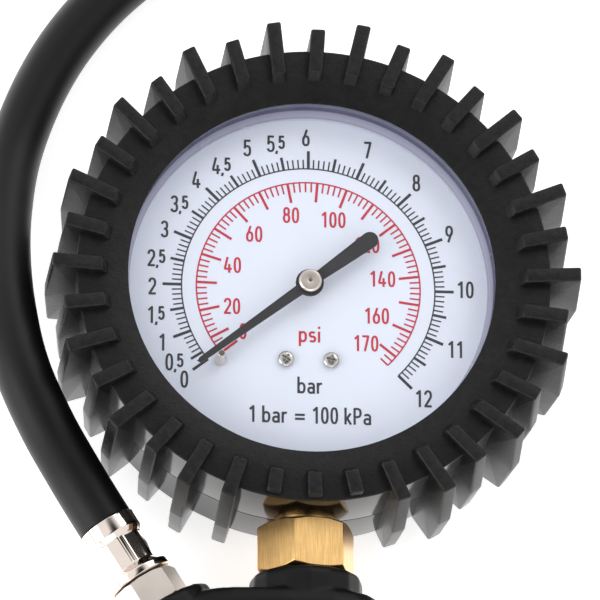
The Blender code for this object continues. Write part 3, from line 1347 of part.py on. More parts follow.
def build_chuck(chuck):
    """The clip-on chuck: body, seal in its mouth, and a sprung thumb lever between two ears."""
    barrel = CHUCK_BARREL_START
    mouth = CHUCK_END - CHUCK_MOUTH_DEPTH
    pocket = mouth - CHUCK_SEAL_THICKNESS - 2 * SEAT_GAP
    body = turned(
        "chuck_body",
        [
            (CHUCK_MOUTH_RADIUS, CHUCK_END),
            (CHUCK_BARREL_RADIUS - 1.0 * MM, CHUCK_END),
            (CHUCK_BARREL_RADIUS, CHUCK_END - 1.0 * MM),
            (CHUCK_BARREL_RADIUS, barrel),
            (BARB_RADIUS, barrel),
            (BARB_RADIUS, 2 * SEAT_GAP),
            (CHUCK_PASSAGE_RADIUS, 2 * SEAT_GAP),
            (CHUCK_PASSAGE_RADIUS, pocket),
            (CHUCK_SEAL_RADIUS, pocket),
            (CHUCK_SEAL_RADIUS, mouth),
            (CHUCK_MOUTH_RADIUS, mouth),
        ],
        CHROME,
        closed=True,
        parent=chuck,
    )
    hex_name = "chuck_hexagon"
    nut = hexagon(hex_name, CHUCK_HEX_ACROSS_FLATS, CHUCK_HEX_START, barrel + OVERLAP, 0.8 * MM, parent=chuck)
    cut(nut, rod("chuck_hexagon_bore", BARB_RADIUS - OVERLAP, 0, CHUCK_END, parent=chuck))
    ear_inside = LEVER_WIDTH / 2 + SEAT_GAP
    ear_foot = CHUCK_BARREL_RADIUS * 0.4 - LEVER_PIVOT_HEIGHT
    crown = arc(2.5 * LEVER_PIN_RADIUS, 0, 180, 7)
    ear_outline = [(EAR_LENGTH / 2, ear_foot), *crown, (-EAR_LENGTH / 2, ear_foot)]
    ears = []
    for name, side in (("ear_left", -1), ("ear_right", 1)):
        near, far = sorted((side * ear_inside, side * (ear_inside + EAR_THICKNESS)))
        ears.append(as_mesh(flat_curve(name, ear_outline, near, far, parent=LEVER_AXIS)))
    join(body, nut, *ears)
    jaw_middle = LEVER_PIVOT_ALONG + LEVER_JAW_REACH - LEVER_JAW_WIDTH / 2
    jaw_room = LEVER_JAW_WIDTH / 2 + 2 * SEAT_GAP
    half_slot = LEVER_WIDTH / 2 + SEAT_GAP
    ear_outside = ear_inside + EAR_THICKNESS
    pin_place = (0, LEVER_PIVOT_HEIGHT, LEVER_PIVOT_ALONG)
    sideways = (0, math.pi / 2, 0)
    cut(
        body,
        box(
            "jaw_slot",
            (-half_slot, 0.5 * CHUCK_MOUTH_RADIUS, jaw_middle - jaw_room),
            (half_slot, 2 * CHUCK_BARREL_RADIUS, jaw_middle + jaw_room),
            parent=chuck,
        ),
        rod(
            "lever_pin_hole",
            LEVER_PIN_RADIUS + RUNNING_GAP,
            -2 * ear_outside,
            2 * ear_outside,
            parent=chuck,
            location=pin_place,
            rotation=sideways,
        ),
        rod("chuck_passage", CHUCK_PASSAGE_RADIUS, 0, mouth, parent=chuck),
    )
    inner, outer = pocket + SEAT_GAP, mouth - SEAT_GAP
    seal_radius = CHUCK_SEAL_RADIUS - SEAT_GAP
    sleeve("chuck_seal", seal_radius, CHUCK_SEAL_BORE, inner, outer, SEAL_RUBBER, parent=chuck)
    rod(
        "chuck_lever_pin",
        LEVER_PIN_RADIUS,
        -ear_outside,
        ear_outside,
        STEEL,
        parent=chuck,
        location=pin_place,
        rotation=sideways,
    )
    flat_curve(
        "chuck_lever",
        [(-along, height) for along, height in lever_outline()],
        -LEVER_WIDTH / 2,
        LEVER_WIDTH / 2,
        CHROME,
        [circle(LEVER_PIN_RADIUS + RUNNING_GAP)],
        parent=LEVER_AXIS,
    )
    along = LEVER_PIVOT_ALONG - LEVER_SPRING_FROM_PIVOT
    slope = 0.25 * LEVER_PAD_RISE / (0.45 * LEVER_PAD_REACH)
    under_lever = LEVER_PIVOT_HEIGHT + slope * LEVER_SPRING_FROM_PIVOT
    foot = CHUCK_BARREL_RADIUS + SEAT_GAP + LEVER_SPRING_WIRE
    head = under_lever - LEVER_THICKNESS / 2 - SEAT_GAP - LEVER_SPRING_WIRE
    turns = helix(LEVER_SPRING_RADIUS, foot, head, LEVER_SPRING_TURNS)
    coil = [(x, height, along - y) for x, y, height in turns]
    wire("chuck_spring", coil, LEVER_SPRING_WIRE, STEEL, resolution=1, parent=chuck)


reset_scene()
PARTS = new_collection("tyre_inflator")
TOOLS = new_collection("cutters_and_joined_shapes")

DOWN_Y = (math.pi / 2, 0, 0)
STEM_AXIS = axis_empty("stem_axis", (0, 0, STEM_HEIGHT), DOWN_Y)
PORT_AXIS = axis_empty("port_axis", PORT_FACE, (-math.pi / 2, 0, math.radians(PORT_LEAN_DEG)))
INLET_AXIS = axis_empty("inlet_axis", INLET_FACE, (math.pi / 2, 0, math.radians(GRIP_RAKE_DEG)))
VALVE_LINE = axis_empty("valve_axis", (0, VALVE_AXIS.y, STEM_HEIGHT), (0, math.pi / 2, 0))
CHUCK_AXIS = axis_empty("chuck_axis", CHUCK_ORIGIN, DOWN_Y)
LEVER_AXIS = axis_empty("lever_axis", (0, LEVER_PIVOT_HEIGHT, LEVER_PIVOT_ALONG), (0, math.pi / 2, 0))
LEVER_AXIS.parent = CHUCK_AXIS

build_shells(STEM_AXIS)
build_dial()
build_pointer_train()
build_sector_and_link()
build_tube()
build_socket(STEM_AXIS, build_plates())
build_body(STEM_AXIS, PORT_AXIS, INLET_AXIS, VALVE_LINE)
build_trigger_and_valve(VALVE_LINE)
build_inlet(INLET_AXIS)
build_hose(PORT_AXIS, CHUCK_AXIS)
build_chuck(CHUCK_AXIS)
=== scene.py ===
"""Looks of a hand-held tyre inflator: a dial gauge in a lugged rubber boot, a cast pistol, a hose and a chuck.

Lengths in the classes are millimetres in the part's own frame: +Z points out of the dial, +Y runs from the pistol
up to the gauge, and the origin is on the dial's axis at the boot's rear face. They become metres when a surface
becomes a mesh. Angles on the dial are degrees clockwise from the top.
"""

from __future__ import annotations

import logging
import math
from dataclasses import dataclass
from enum import Enum

import bmesh
import bpy
import numpy as np
from mathutils import Matrix, Vector


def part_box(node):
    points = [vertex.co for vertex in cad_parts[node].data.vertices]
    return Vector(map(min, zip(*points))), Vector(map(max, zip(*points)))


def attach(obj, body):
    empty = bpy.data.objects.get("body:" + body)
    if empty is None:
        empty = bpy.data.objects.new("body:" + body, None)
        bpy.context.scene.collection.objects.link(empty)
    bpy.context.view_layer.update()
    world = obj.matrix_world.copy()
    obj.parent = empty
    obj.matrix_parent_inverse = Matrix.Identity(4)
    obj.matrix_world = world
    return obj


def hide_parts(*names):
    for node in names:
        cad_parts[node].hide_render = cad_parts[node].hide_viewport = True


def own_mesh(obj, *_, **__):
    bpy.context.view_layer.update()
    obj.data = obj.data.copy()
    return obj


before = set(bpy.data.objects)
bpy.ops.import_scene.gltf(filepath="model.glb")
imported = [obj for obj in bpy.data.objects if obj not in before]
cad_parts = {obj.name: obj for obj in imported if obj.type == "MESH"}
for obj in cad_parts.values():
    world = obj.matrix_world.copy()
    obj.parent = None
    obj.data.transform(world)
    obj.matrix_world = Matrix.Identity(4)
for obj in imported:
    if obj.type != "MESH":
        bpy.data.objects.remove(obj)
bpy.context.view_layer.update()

LOG = logging.getLogger("tyre_inflator")
MM = 0.001
TINY = 1e-9
LEAST_TANGENT = 1e-6
MOST_TRIM = 0.45
WELD_M = 1e-7
CAD_WELD_M = 1e-6
FLAT_DEG = 0.6
LEAST_ROUGHNESS = 0.02
SLOW_LAYERS, FINE_LAYERS, MOTTLE_LAYERS = 3.0, 2.0, 4.0

Array = np.ndarray
Span = tuple[float, float]
Point = tuple[float, float, float]
Places = tuple[tuple[str, float, float], ...]
Mesh = bpy.types.Mesh
Object = bpy.types.Object
Node = bpy.types.Node
Socket = bpy.types.NodeSocket
Tree = bpy.types.NodeTree


# Surfaces


@dataclass
class Surface:
    """Points and faces of a shape, in millimetres.

    Args:
        points: One row of x, y, z for each point.
        faces: One row of four point numbers for each face.
        wear_and_painted_light: How rubbed each point is and how much light is painted on it, from 0 to 1, or down to -1
            where the mould was polished, or nothing.
    """

    points: Array
    faces: Array
    wear_and_painted_light: Array | None = None

    @classmethod
    def grid(cls, rings: Array, round_rows: bool = False) -> Surface:
        """Rings of points as a surface; the last ring may meet the first."""
        return cls(rings.reshape(-1, 3), grid_faces(*rings.shape[:2], round_rows, True))

    def placed(self, matrix: Matrix) -> Surface:
        """The same surface turned and moved by a matrix in millimetres."""
        turn = np.array(matrix.to_3x3())
        return Surface(self.points @ turn.T + np.array(matrix.translation), self.faces, self.wear_and_painted_light)

    def mesh(self, name: str) -> Mesh:
        """The surface as a new mesh, in metres."""
        made = bpy.data.meshes.new(name)
        made.from_pydata((self.points * MM).tolist(), [], self.faces.tolist())
        return made

    def welded(self, name: str) -> Mesh:
        """The surface as a mesh whose double points are welded, whose faces look outwards and that carries the wear and
        painted light.

        Args:
            name: The mesh's name.

        Returns:
            The mesh, in metres.
        """
        made = self.mesh(name)
        if self.wear_and_painted_light is not None:
            made.attributes.new("wear_and_painted_light", "FLOAT", "POINT").data.foreach_set("value", self.wear_and_painted_light.astype(np.float32))
        work = bmesh.new()
        work.from_mesh(made)
        bmesh.ops.remove_doubles(work, verts=work.verts, dist=WELD_M)
        bmesh.ops.recalc_face_normals(work, faces=work.faces)
        work.to_mesh(made)
        work.free()
        return made


def joined(surfaces: list[Surface]) -> Surface:
    """Several surfaces as one that holds them as separate shells, with their faces renumbered."""
    starts = np.cumsum([0] + [len(s.points) for s in surfaces[:-1]])
    return Surface(
        np.concatenate([s.points for s in surfaces]),
        np.concatenate([s.faces + start for s, start in zip(surfaces, starts)]),
        np.concatenate([np.zeros(len(s.points)) if s.wear_and_painted_light is None else s.wear_and_painted_light for s in surfaces]),
    )


def grid_faces(rows: int, columns: int, round_rows: bool = False, round_columns: bool = False) -> Array:
    """Four-sided faces of a grid whose point number is row times columns plus column.

    Args:
        rows: Rows of points.
        columns: Points in a row.
        round_rows: Whether the last row meets the first.
        round_columns: Whether the last column meets the first.

    Returns:
        One row of four point numbers for each face.
    """
    row, column = np.meshgrid(
        np.arange(rows if round_rows else rows - 1),
        np.arange(columns if round_columns else columns - 1),
        indexing="ij",
    )
    below, beside = (row + 1) % rows, (column + 1) % columns
    corners = (row * columns + column, row * columns + beside, below * columns + beside, below * columns + column)
    return np.stack(corners, -1).reshape(-1, 4)


def unit(rows: Array, least: float = 0.0) -> Array:
    """Rows over their lengths, to which a least length may be added."""
    return rows / (np.linalg.norm(rows, axis=1, keepdims=True) + least)


def full_turn(steps: int) -> Array:
    """Even angles once round, in radians."""
    return np.linspace(0, 2 * np.pi, steps, endpoint=False)


def about_z(radius: Array, height: Array, angle: Array) -> Array:
    """Rings about Z: radius, height and angle go to (radius cos angle, radius sin angle, height)."""
    return np.stack([radius * np.cos(angle), radius * np.sin(angle), height + 0 * angle], -1)


def rounded(rows: list[Point], steps: int = 6, closed: bool = True) -> Array:
    """A polygon whose corners are rounded.

    Each corner becomes a parabola between the two points that lie on its sides at the trimming length, which is the
    radius over the tangent of half the corner's angle, and at most a fixed share of the shorter side.

    Args:
        rows: Each corner's two coordinates and its radius; nothing is trimmed where that is 0.
        steps: Points on each rounded corner.
        closed: Whether the last corner is joined to the first.

    Returns:
        The points of the rounded outline, in order.
    """
    corners, radii = np.hsplit(np.array(rows, float), [2])
    before, after = np.roll(corners, 1, 0) - corners, np.roll(corners, -1, 0) - corners
    long_before, long_after = (np.linalg.norm(side, axis=1, keepdims=True) + TINY for side in (before, after))
    before, after = before / long_before, after / long_after
    half = np.arccos(np.clip((before * after).sum(1, keepdims=True), -1, 1)) / 2
    most = MOST_TRIM * np.minimum(long_before, long_after)
    trim = np.minimum(radii / np.maximum(np.tan(half), LEAST_TANGENT), most)
    if not closed:
        trim[[0, -1]] = 0
    t = np.linspace(0, 1, steps).reshape(1, -1, 1)
    start, end = (corners + before * trim)[:, None], (corners + after * trim)[:, None]
    return ((1 - t) ** 2 * start + 2 * t * (1 - t) * corners[:, None] + t**2 * end).reshape(-1, 2)


def lathe(profile: Array, steps: int, closed: bool = False) -> Surface:
    """A profile of radius and height turned about Z; its last point may meet its first."""
    return Surface.grid(about_z(profile[:, :1], profile[:, 1:], full_turn(steps)), closed)


def smooth_line(points: Array, count: int) -> Array:
    """A cubic line through points, each piece taking its slopes from the points on either side.

    Args:
        points: The points to pass through.
        count: Points on the line, evenly spread over the pieces.

    Returns:
        The line's points.
    """
    ends = np.concatenate([2 * points[:1] - points[1:2], points, 2 * points[-1:] - points[-2:-1]])
    along = np.linspace(0, len(points) - 1, count)
    piece_number = np.minimum(along.astype(int), len(points) - 2)
    t = (along - piece_number)[:, None]
    a, b, c, d = (ends[piece_number + k] for k in range(4))
    square, cube = 2 * a - 5 * b + 4 * c - d, 3 * b - a - 3 * c + d
    return 0.5 * (2 * b + (c - a) * t + square * t**2 + cube * t**3)


def tube(line: Array, radius: float, sides: int) -> Surface:
    """A round section carried along a line that never stands upright.

    The section at each point lies across the line: one axis is level, along the line's direction times +Z, and the
    other is across both. The ends close to a point on the line.

    Args:
        line: The middle line's points.
        radius: The tube's radius.
        sides: Points round the section.

    Returns:
        The closed tube.
    """
    way = unit(np.gradient(line, axis=0))
    level = unit(np.cross(way, [0.0, 0.0, 1.0]))
    up = np.cross(level, way)
    angle = full_turn(sides)[:, None]
    rows = np.concatenate([[0], np.arange(len(line)), [len(line) - 1]])
    size = np.full((len(rows), 1, 1), radius)
    size[[0, -1]] = 0
    ring = level[rows][:, None] * np.cos(angle) + up[rows][:, None] * np.sin(angle)
    return Surface.grid(line[rows][:, None] + size * ring)


def easing(value: Array, low: float, high: float) -> Array:
    """A smooth step from 0 at low to 1 at high."""
    t = np.clip((value - low) / (high - low), 0, 1)
    return t * t * (3 - 2 * t)


def along_axis(place: Vector, way: Point) -> Matrix:
    """The matrix that puts the origin at a place and +Z along a way, in millimetres."""
    return Matrix.Translation(place) @ Vector(way).to_track_quat("Z", "Y").to_matrix().to_4x4()


# Scene and nodes


def configure(made: bpy.types.bpy_struct, **settings: object) -> bpy.types.bpy_struct:
    """The same thing with its attributes set by name."""
    for name, value in settings.items():
        setattr(made, name, value)
    return made


def linked(name: str, data: bpy.types.ID) -> Object:
    """A new object in the scene."""
    made = bpy.data.objects.new(name, data)
    bpy.context.scene.collection.objects.link(made)
    return made


def connect(tree: Tree, made: Node, inputs: dict[str | int, object]) -> None:
    """Sets a node's inputs.

    Args:
        tree: The node's tree.
        made: The node.
        inputs: A socket to link from, or else a value, for each input's name or number.
    """
    for key, value in inputs.items():
        if isinstance(value, Socket):
            tree.links.new(value, made.inputs[key])
        else:
            made.inputs[key].default_value = value


def node(tree: Tree, kind: str, inputs: dict[str | int, object], **options: str) -> Node:
    """Adds a shader node.

    Args:
        tree: The tree that takes it.
        kind: Its type, without ShaderNode in front.
        inputs: Its inputs, as for connect.
        options: Its other settings.

    Returns:
        The node.
    """
    made = configure(tree.nodes.new("ShaderNode" + kind), **options)
    connect(tree, made, inputs)
    return made


def remap(tree: Tree, value: Socket, was: Span = (0.0, 1.0), now: Span = (0.0, 1.0), way: str = "LINEAR") -> Socket:
    """A value carried from the span where it was to another one, and held at its ends."""
    limits = dict(zip(("From Min", "From Max", "To Min", "To Max"), (*was, *now)))
    return node(tree, "MapRange", {"Value": value, **limits}, interpolation_type=way).outputs["Result"]


def opaque(colour: Point) -> tuple[float, float, float, float]:
    """A colour with full cover."""
    return (*colour, 1.0)


def ramp(tree: Tree, value: Socket, stops: tuple[tuple[float, Point], ...]) -> Socket:
    """A ramp of colours over a value.

    Args:
        tree: The tree that takes the node.
        value: The value, from 0 to 1.
        stops: Place and colour of each stop.

    Returns:
        The colour's socket.
    """
    made = node(tree, "ValToRGB", {"Fac": value})
    elements = made.color_ramp.elements
    while len(elements) < len(stops):
        elements.new(1.0)
    for element, (place, colour) in zip(elements, stops):
        element.position = place
        element.color = opaque(colour)
    return made.outputs["Color"]


def blend(tree: Tree, share: Socket | float, first: Socket, second: object, way: str = "MIX") -> Socket:
    """Two colours blended by the share of the second, which is a socket or a value."""
    inputs = {"Factor": share, "A": first, "B": second}
    return node(tree, "Mix", inputs, data_type="RGBA", blend_type=way).outputs["Result"]


# Finishes


class Grain(Enum):
    """Which way a finish's fine pattern is drawn out, as scales along x, y and z."""

    EVEN = (1.0, 1.0, 1.0)
    ALONG_STEM = (1.0, 0.05, 1.0)


@dataclass(frozen=True)
class Finish:
    """A surface finish: one colour that drifts slowly, a roughness that follows it, and a fine bump.

    Args:
        name: The material's name.
        slot: The record's material slot.
        colour: Base colour, linear.
        roughness: Middle roughness.
        metallic: 1 for metal.
        specular: Specular level.
        drift_mm: Size of the slow colour drift.
        drift: Share of the colour that drifts.
        gloss_drift: Roughness change over the drift.
        grain_mm: Size of the fine grain.
        bump_mm: Height of the fine grain.
        grain: Which way the grain is drawn out.
    """

    name: str
    slot: str
    colour: Point
    roughness: float
    metallic: float = 0.0
    specular: float = 0.5
    drift_mm: float = 5.0
    drift: float = 0.1
    gloss_drift: float = 0.06
    grain_mm: float = 0.35
    bump_mm: float = 0.01
    grain: Grain = Grain.EVEN

    def material(self) -> bpy.types.Material:
        """The finish as a node material, made on first use."""
        made = bpy.data.materials.get(self.name)
        if made is None:
            made = bpy.data.materials.new(self.name)
            made.use_nodes = True
            self.wire(made.node_tree)
        return made

    def wire(self, tree: Tree) -> None:
        """Sets the shader and its patterns.

        Args:
            tree: The material's node tree, with its shader and output.
        """
        slow = self.noise(tree, self.drift_mm, Grain.EVEN, SLOW_LAYERS)
        fine = self.noise(tree, self.grain_mm, self.grain, FINE_LAYERS)
        bump = {"Distance": self.bump_mm * MM, "Height": fine, "Strength": self.strength(tree)}
        shader = {
            "Metallic": self.metallic,
            "Specular IOR Level": self.specular,
            "Base Color": self.colours(tree, slow, fine),
            "Roughness": self.dullness(tree, slow),
            "Normal": node(tree, "Bump", bump).outputs["Normal"],
        }
        connect(tree, tree.nodes["Principled BSDF"], shader)

    def noise(self, tree: Tree, size_mm: float, grain: Grain, detail: float) -> Socket:
        """A cloud pattern on the part's own coordinates.

        Args:
            tree: The material's node tree.
            size_mm: Size of the pattern.
            grain: Which way it is drawn out.
            detail: How many finer layers it has.

        Returns:
            The socket that gives the pattern, about 0 to 1.
        """
        place = node(tree, "TexCoord", {}).outputs["Object"]
        drawn = node(tree, "Mapping", {"Vector": place, "Scale": grain.value}).outputs["Vector"]
        cloud = {"Vector": drawn, "Scale": 1.0 / (size_mm * MM), "Detail": detail}
        return node(tree, "TexNoise", cloud).outputs[0]

    def strength(self, tree: Tree) -> Socket | float:
        """The fine bump's strength, full all over."""
        return 1.0

    def dullness(self, tree: Tree, slow: Socket) -> Socket:
        """The roughness, following the slow pattern."""
        least = max(self.roughness - self.gloss_drift, LEAST_ROUGHNESS)
        return remap(tree, slow, now=(least, self.roughness + self.gloss_drift))

    def shade(self, share: float) -> Point:
        """The base colour times a share."""
        return tuple(min(c * share, 1.0) for c in self.colour)

    def colours(self, tree: Tree, slow: Socket, fine: Socket) -> Socket:
        """The colour, drifting with the slow pattern between a darker and a lighter shade."""
        return ramp(tree, slow, ((0.3, self.shade(1 - self.drift)), (0.7, self.shade(1 + self.drift))))


@dataclass(frozen=True)
class RubberWithWearAndPaintedLight(Finish):
    """Moulded rubber, mottled, rubbed paler where the mesh marks it as worn, painted paler where the mesh carries
    painted light, and smooth where its mould was polished.

    Args:
        worn_and_painted_light_share: Colour where it is worn and where light is painted, as a multiple of the base
            colour.
        polished: Roughness where the mould was polished.
        polished_bump: Strength of the bump there.
        mottle_mm: Size of the mottling.
        mottle: Places of the darkest and palest mottling in the pattern, and what they multiply the colour by.
    """

    worn_and_painted_light_share: float = 2.2
    polished: float = 0.2
    polished_bump: float = 0.12
    mottle_mm: float = 1.4
    mottle: tuple[Span, Span] = ((0.36, 0.55), (0.64, 1.45))

    def marked(self, tree: Tree, end: float) -> Socket:
        """The mesh's wear and painted light as 0 to 1, from none to 1 where it is worn and where light is painted, or
        to -1 where it is polished.
        """
        wear_and_painted_light = node(tree, "Attribute", {}, attribute_name="wear_and_painted_light")
        return remap(tree, wear_and_painted_light.outputs["Fac"], was=(0.0, end))

    def strength(self, tree: Tree) -> Socket:
        """The fine bump's strength, fading where the mould was polished."""
        return remap(tree, self.marked(tree, -1.0), now=(1.0, self.polished_bump))

    def dullness(self, tree: Tree, slow: Socket) -> Socket:
        """The drifting roughness, mixed with the polished one where the wear is below 0."""
        inputs = {"Factor": self.marked(tree, -1.0), "A": super().dullness(tree, slow), "B": self.polished}
        return node(tree, "Mix", inputs).outputs["Result"]

    def colours(self, tree: Tree, slow: Socket, fine: Socket) -> Socket:
        """The drifting colour, mixed with a paler one by the wear and the painted light, times the mottling.

        Args:
            tree: The material's node tree.
            slow: The slow pattern.
            fine: The fine pattern.

        Returns:
            The colour's socket.
        """
        paler = opaque(self.shade(self.worn_and_painted_light_share))
        base = blend(tree, self.marked(tree, 1.0), super().colours(tree, slow, fine), paler)
        cloud = self.noise(tree, self.mottle_mm, Grain.EVEN, MOTTLE_LAYERS)
        spots = ramp(tree, cloud, tuple((place, (share, share, share)) for place, share in self.mottle))
        return blend(tree, 1.0, base, spots, "MULTIPLY")


@dataclass(frozen=True)
class MilledMetal(Finish):
    """Metal with streaks of tool marks that also shade its colour.

    Args:
        streak_share: How much darker a streak is.
        streak_span: Where in the fine pattern the streaks set in and are full.
        streak_most: The most of the darker shade that is mixed in.
    """

    streak_share: float = 0.25
    streak_span: Span = (0.35, 0.7)
    streak_most: float = 0.8

    def colours(self, tree: Tree, slow: Socket, fine: Socket) -> Socket:
        """The drifting colour, mixed towards a darker shade by the fine streaks."""
        streaks = remap(tree, fine, self.streak_span, (0.0, self.streak_most))
        return blend(tree, streaks, super().colours(tree, slow, fine), opaque(self.shade(1 - self.streak_share)))


@dataclass(frozen=True)
class ClearPlastic(Finish):
    """A clear moulding that lets the light through and keeps a faint gloss.

    Args:
        cover: How much of what lies behind is covered.
    """

    cover: float = 0.02

    def wire(self, tree: Tree) -> None:
        """The plain finish, made nearly see-through."""
        super().wire(tree)
        connect(tree, tree.nodes["Principled BSDF"], {"Alpha": self.cover})


@dataclass(frozen=True)
class PaintedLightBands(Finish):
    """The lens's rim: the plastic's bluish tint in bands one above another, with painted reflections and painted shade
    standing in for how its edge shows through the clear plastic.

    Args:
        span_mm: Heights of the lowest and the highest band.
        painted_bands: Position from 0 to 1 and colour of each band of painted reflection and painted shade.
    """

    span_mm: Span = (0.0, 1.0)
    painted_bands: tuple[tuple[float, Point], ...] = ()

    def colours(self, tree: Tree, slow: Socket, fine: Socket) -> Socket:
        """A ramp of the painted reflection and shade bands over the height, read from the part's own coordinates."""
        split = node(tree, "SeparateXYZ", {"Vector": node(tree, "TexCoord", {}).outputs["Object"]})
        height = remap(tree, split.outputs["Z"], (self.span_mm[0] * MM, self.span_mm[1] * MM))
        return ramp(tree, height, self.painted_bands)


BOOT_RUBBER = RubberWithWearAndPaintedLight(
    "moulded_boot_rubber", "boot_rubber", (0.0037, 0.0033, 0.0032), 0.46, specular=0.27, drift_mm=7.0, drift=0.35,
    gloss_drift=0.08, grain_mm=0.55, bump_mm=0.06, worn_and_painted_light_share=2.7, polished=0.14,
)
LENS_CLEAR = ClearPlastic("clear_lens_plastic", "clear_lens", (0.9, 0.93, 1.0), 0.05, 1.0, drift=0.03, bump_mm=0.0005)
# The lens rim's bluish tint, with painted reflections and painted shade as bands over its height.
LENS_EDGE_PAINTED_LIGHT = PaintedLightBands(
    "lens_edge_painted_light", "clear_lens", (0.5, 0.5, 0.6), 0.25, bump_mm=0.002, span_mm=(21.6, 27.6),
    painted_bands=(
        (0.0, (0.6, 0.62, 0.72)), (0.1, (0.4, 0.4, 0.49)), (0.14, (0.22, 0.22, 0.29)), (0.2, (0.32, 0.32, 0.41)),
        (0.42, (0.24, 0.24, 0.33)), (0.47, (0.05, 0.052, 0.1)), (0.6, (0.06, 0.062, 0.12)), (0.66, (0.13, 0.13, 0.19)),
        (1.0, (0.11, 0.11, 0.15)),
    ),
)
DIAL_WHITE = Finish("dial_enamel", "dial_print", (0.78, 0.83, 0.94), 0.42, drift=0.012, drift_mm=9.0, bump_mm=0.002)
BAR_INK = Finish("dark_scale_ink", "dial_print", (0.035, 0.035, 0.042), 0.5, drift=0.12, drift_mm=0.8, bump_mm=0.002)
PSI_INK = Finish("red_scale_ink", "dial_print", (0.56, 0.028, 0.055), 0.5, drift=0.07, drift_mm=0.8, bump_mm=0.002)
POINTER_PAINT = Finish("pointer_satin_paint", "pointer_paint", (0.042, 0.040, 0.044), 0.5, specular=0.2, bump_mm=0.004)
HOSE_RUBBER = Finish(
    "smooth_hose_rubber", "hose_rubber", (0.0022, 0.0021, 0.0021), 0.46, specular=0.27, drift_mm=9.0, drift=0.2,
    gloss_drift=0.05, grain_mm=0.5, bump_mm=0.008,
)
CAST_BLACK = Finish(
    "coated_casting", "black_cast", (0.0056, 0.0054, 0.0057), 0.42, specular=0.15, drift_mm=4.0, drift=0.15,
    gloss_drift=0.05, grain_mm=0.55, bump_mm=0.02,
)
PAINTED_STEEL = Finish("black_painted_steel", "black_steel", (0.02, 0.02, 0.021), 0.4, drift=0.15, bump_mm=0.008)
SEAL_BLACK = Finish("soft_seal_rubber", "seal_rubber", (0.03, 0.03, 0.031), 0.62, specular=0.3, bump_mm=0.02)
NICKEL = MilledMetal(
    "nickel_plate", "nickel", (0.86, 0.77, 0.70), 0.3, 1.0, drift=0.05, grain_mm=0.2, bump_mm=0.002, streak_share=0.1,
)
BRASS = MilledMetal(
    "milled_brass", "brass", (0.85, 0.535, 0.215), 0.33, 1.0, drift_mm=3.0, drift=0.1, gloss_drift=0.08, grain_mm=0.22,
    bump_mm=0.006, grain=Grain.ALONG_STEM, streak_share=0.3,
)
CHROME = Finish("bright_chrome", "chrome", (0.75, 0.665, 0.6), 0.09, 1.0, drift=0.03, gloss_drift=0.03, bump_mm=0.0015)
SATIN_CHROME = Finish(
    "satin_chrome", "chrome", (0.84, 0.76, 0.69), 0.42, 1.0, drift=0.04, gloss_drift=0.04, bump_mm=0.002,
)
STEEL = MilledMetal(
    "turned_steel", "steel", (0.58, 0.56, 0.53), 0.27, 1.0, grain_mm=0.2, bump_mm=0.002, streak_share=0.15,
)


# Pieces


def piece(name: str, shape: Surface | Mesh, finish: Finish, body: str, *nodes: str, sharp_deg: float = 40.0) -> Object:
    """Makes a shape an object, shades it, sets it on its body and hides the CAD nodes that it stands for.

    Args:
        name: The object's name.
        shape: A surface, which is welded, or a finished mesh in metres.
        finish: Its finish.
        body: The body that it moves with.
        nodes: The CAD nodes that it stands for.
        sharp_deg: Edges that bend more than this stay sharp.

    Returns:
        The object, at the origin.
    """
    mesh = shape.welded(name) if isinstance(shape, Surface) else shape
    mesh.shade_smooth()
    mesh.set_sharp_from_angle(angle=math.radians(sharp_deg))
    mesh.materials.clear()
    mesh.materials.append(finish.material())
    made = linked(name, mesh)
    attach(made, body)
    if nodes:
        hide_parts(*nodes)
    LOG.info("%s: %d faces on %s", name, len(mesh.polygons), body)
    return made


def merged_copy(cad_node: str, name: str) -> Mesh:
    """A copy of a CAD node's mesh with its loose triangles joined and its flats made whole.

    Args:
        cad_node: The CAD node.
        name: The copy's name.

    Returns:
        The new mesh.
    """
    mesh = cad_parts[cad_node].data.copy()
    mesh.name = name
    work = bmesh.new()
    work.from_mesh(mesh)
    bmesh.ops.remove_doubles(work, verts=work.verts, dist=CAD_WELD_M)
    bmesh.ops.dissolve_limit(work, angle_limit=math.radians(FLAT_DEG), verts=work.verts, edges=work.edges)
    work.to_mesh(mesh)
    work.free()
    for attribute in [a for a in mesh.attributes if a.name in ("custom_normal", "sharp_edge", "sharp_face")]:
        mesh.attributes.remove(attribute)
    return mesh


def eased(cad_node: str, finish: Finish, body: str, edge_mm: float, over_deg: float = 32.0) -> Object:
    """A CAD node's copy with its edges eased by a small bevel.

    Args:
        cad_node: The CAD node that the piece stands for.
        finish: Its finish.
        body: The body that it moves with.
        edge_mm: Width of the bevel.
        over_deg: Edges that bend less than this stay as they are.

    Returns:
        The object.
    """
    name = cad_node + "_eased"
    made = piece(name, merged_copy(cad_node, name), finish, body, cad_node, sharp_deg=over_deg)
    configure(
        made.modifiers.new("eased_edges", "BEVEL"), width=edge_mm * MM, segments=2, limit_method="ANGLE",
        angle_limit=math.radians(over_deg), use_clamp_overlap=True, miter_outer="MITER_ARC",
    )
    return made


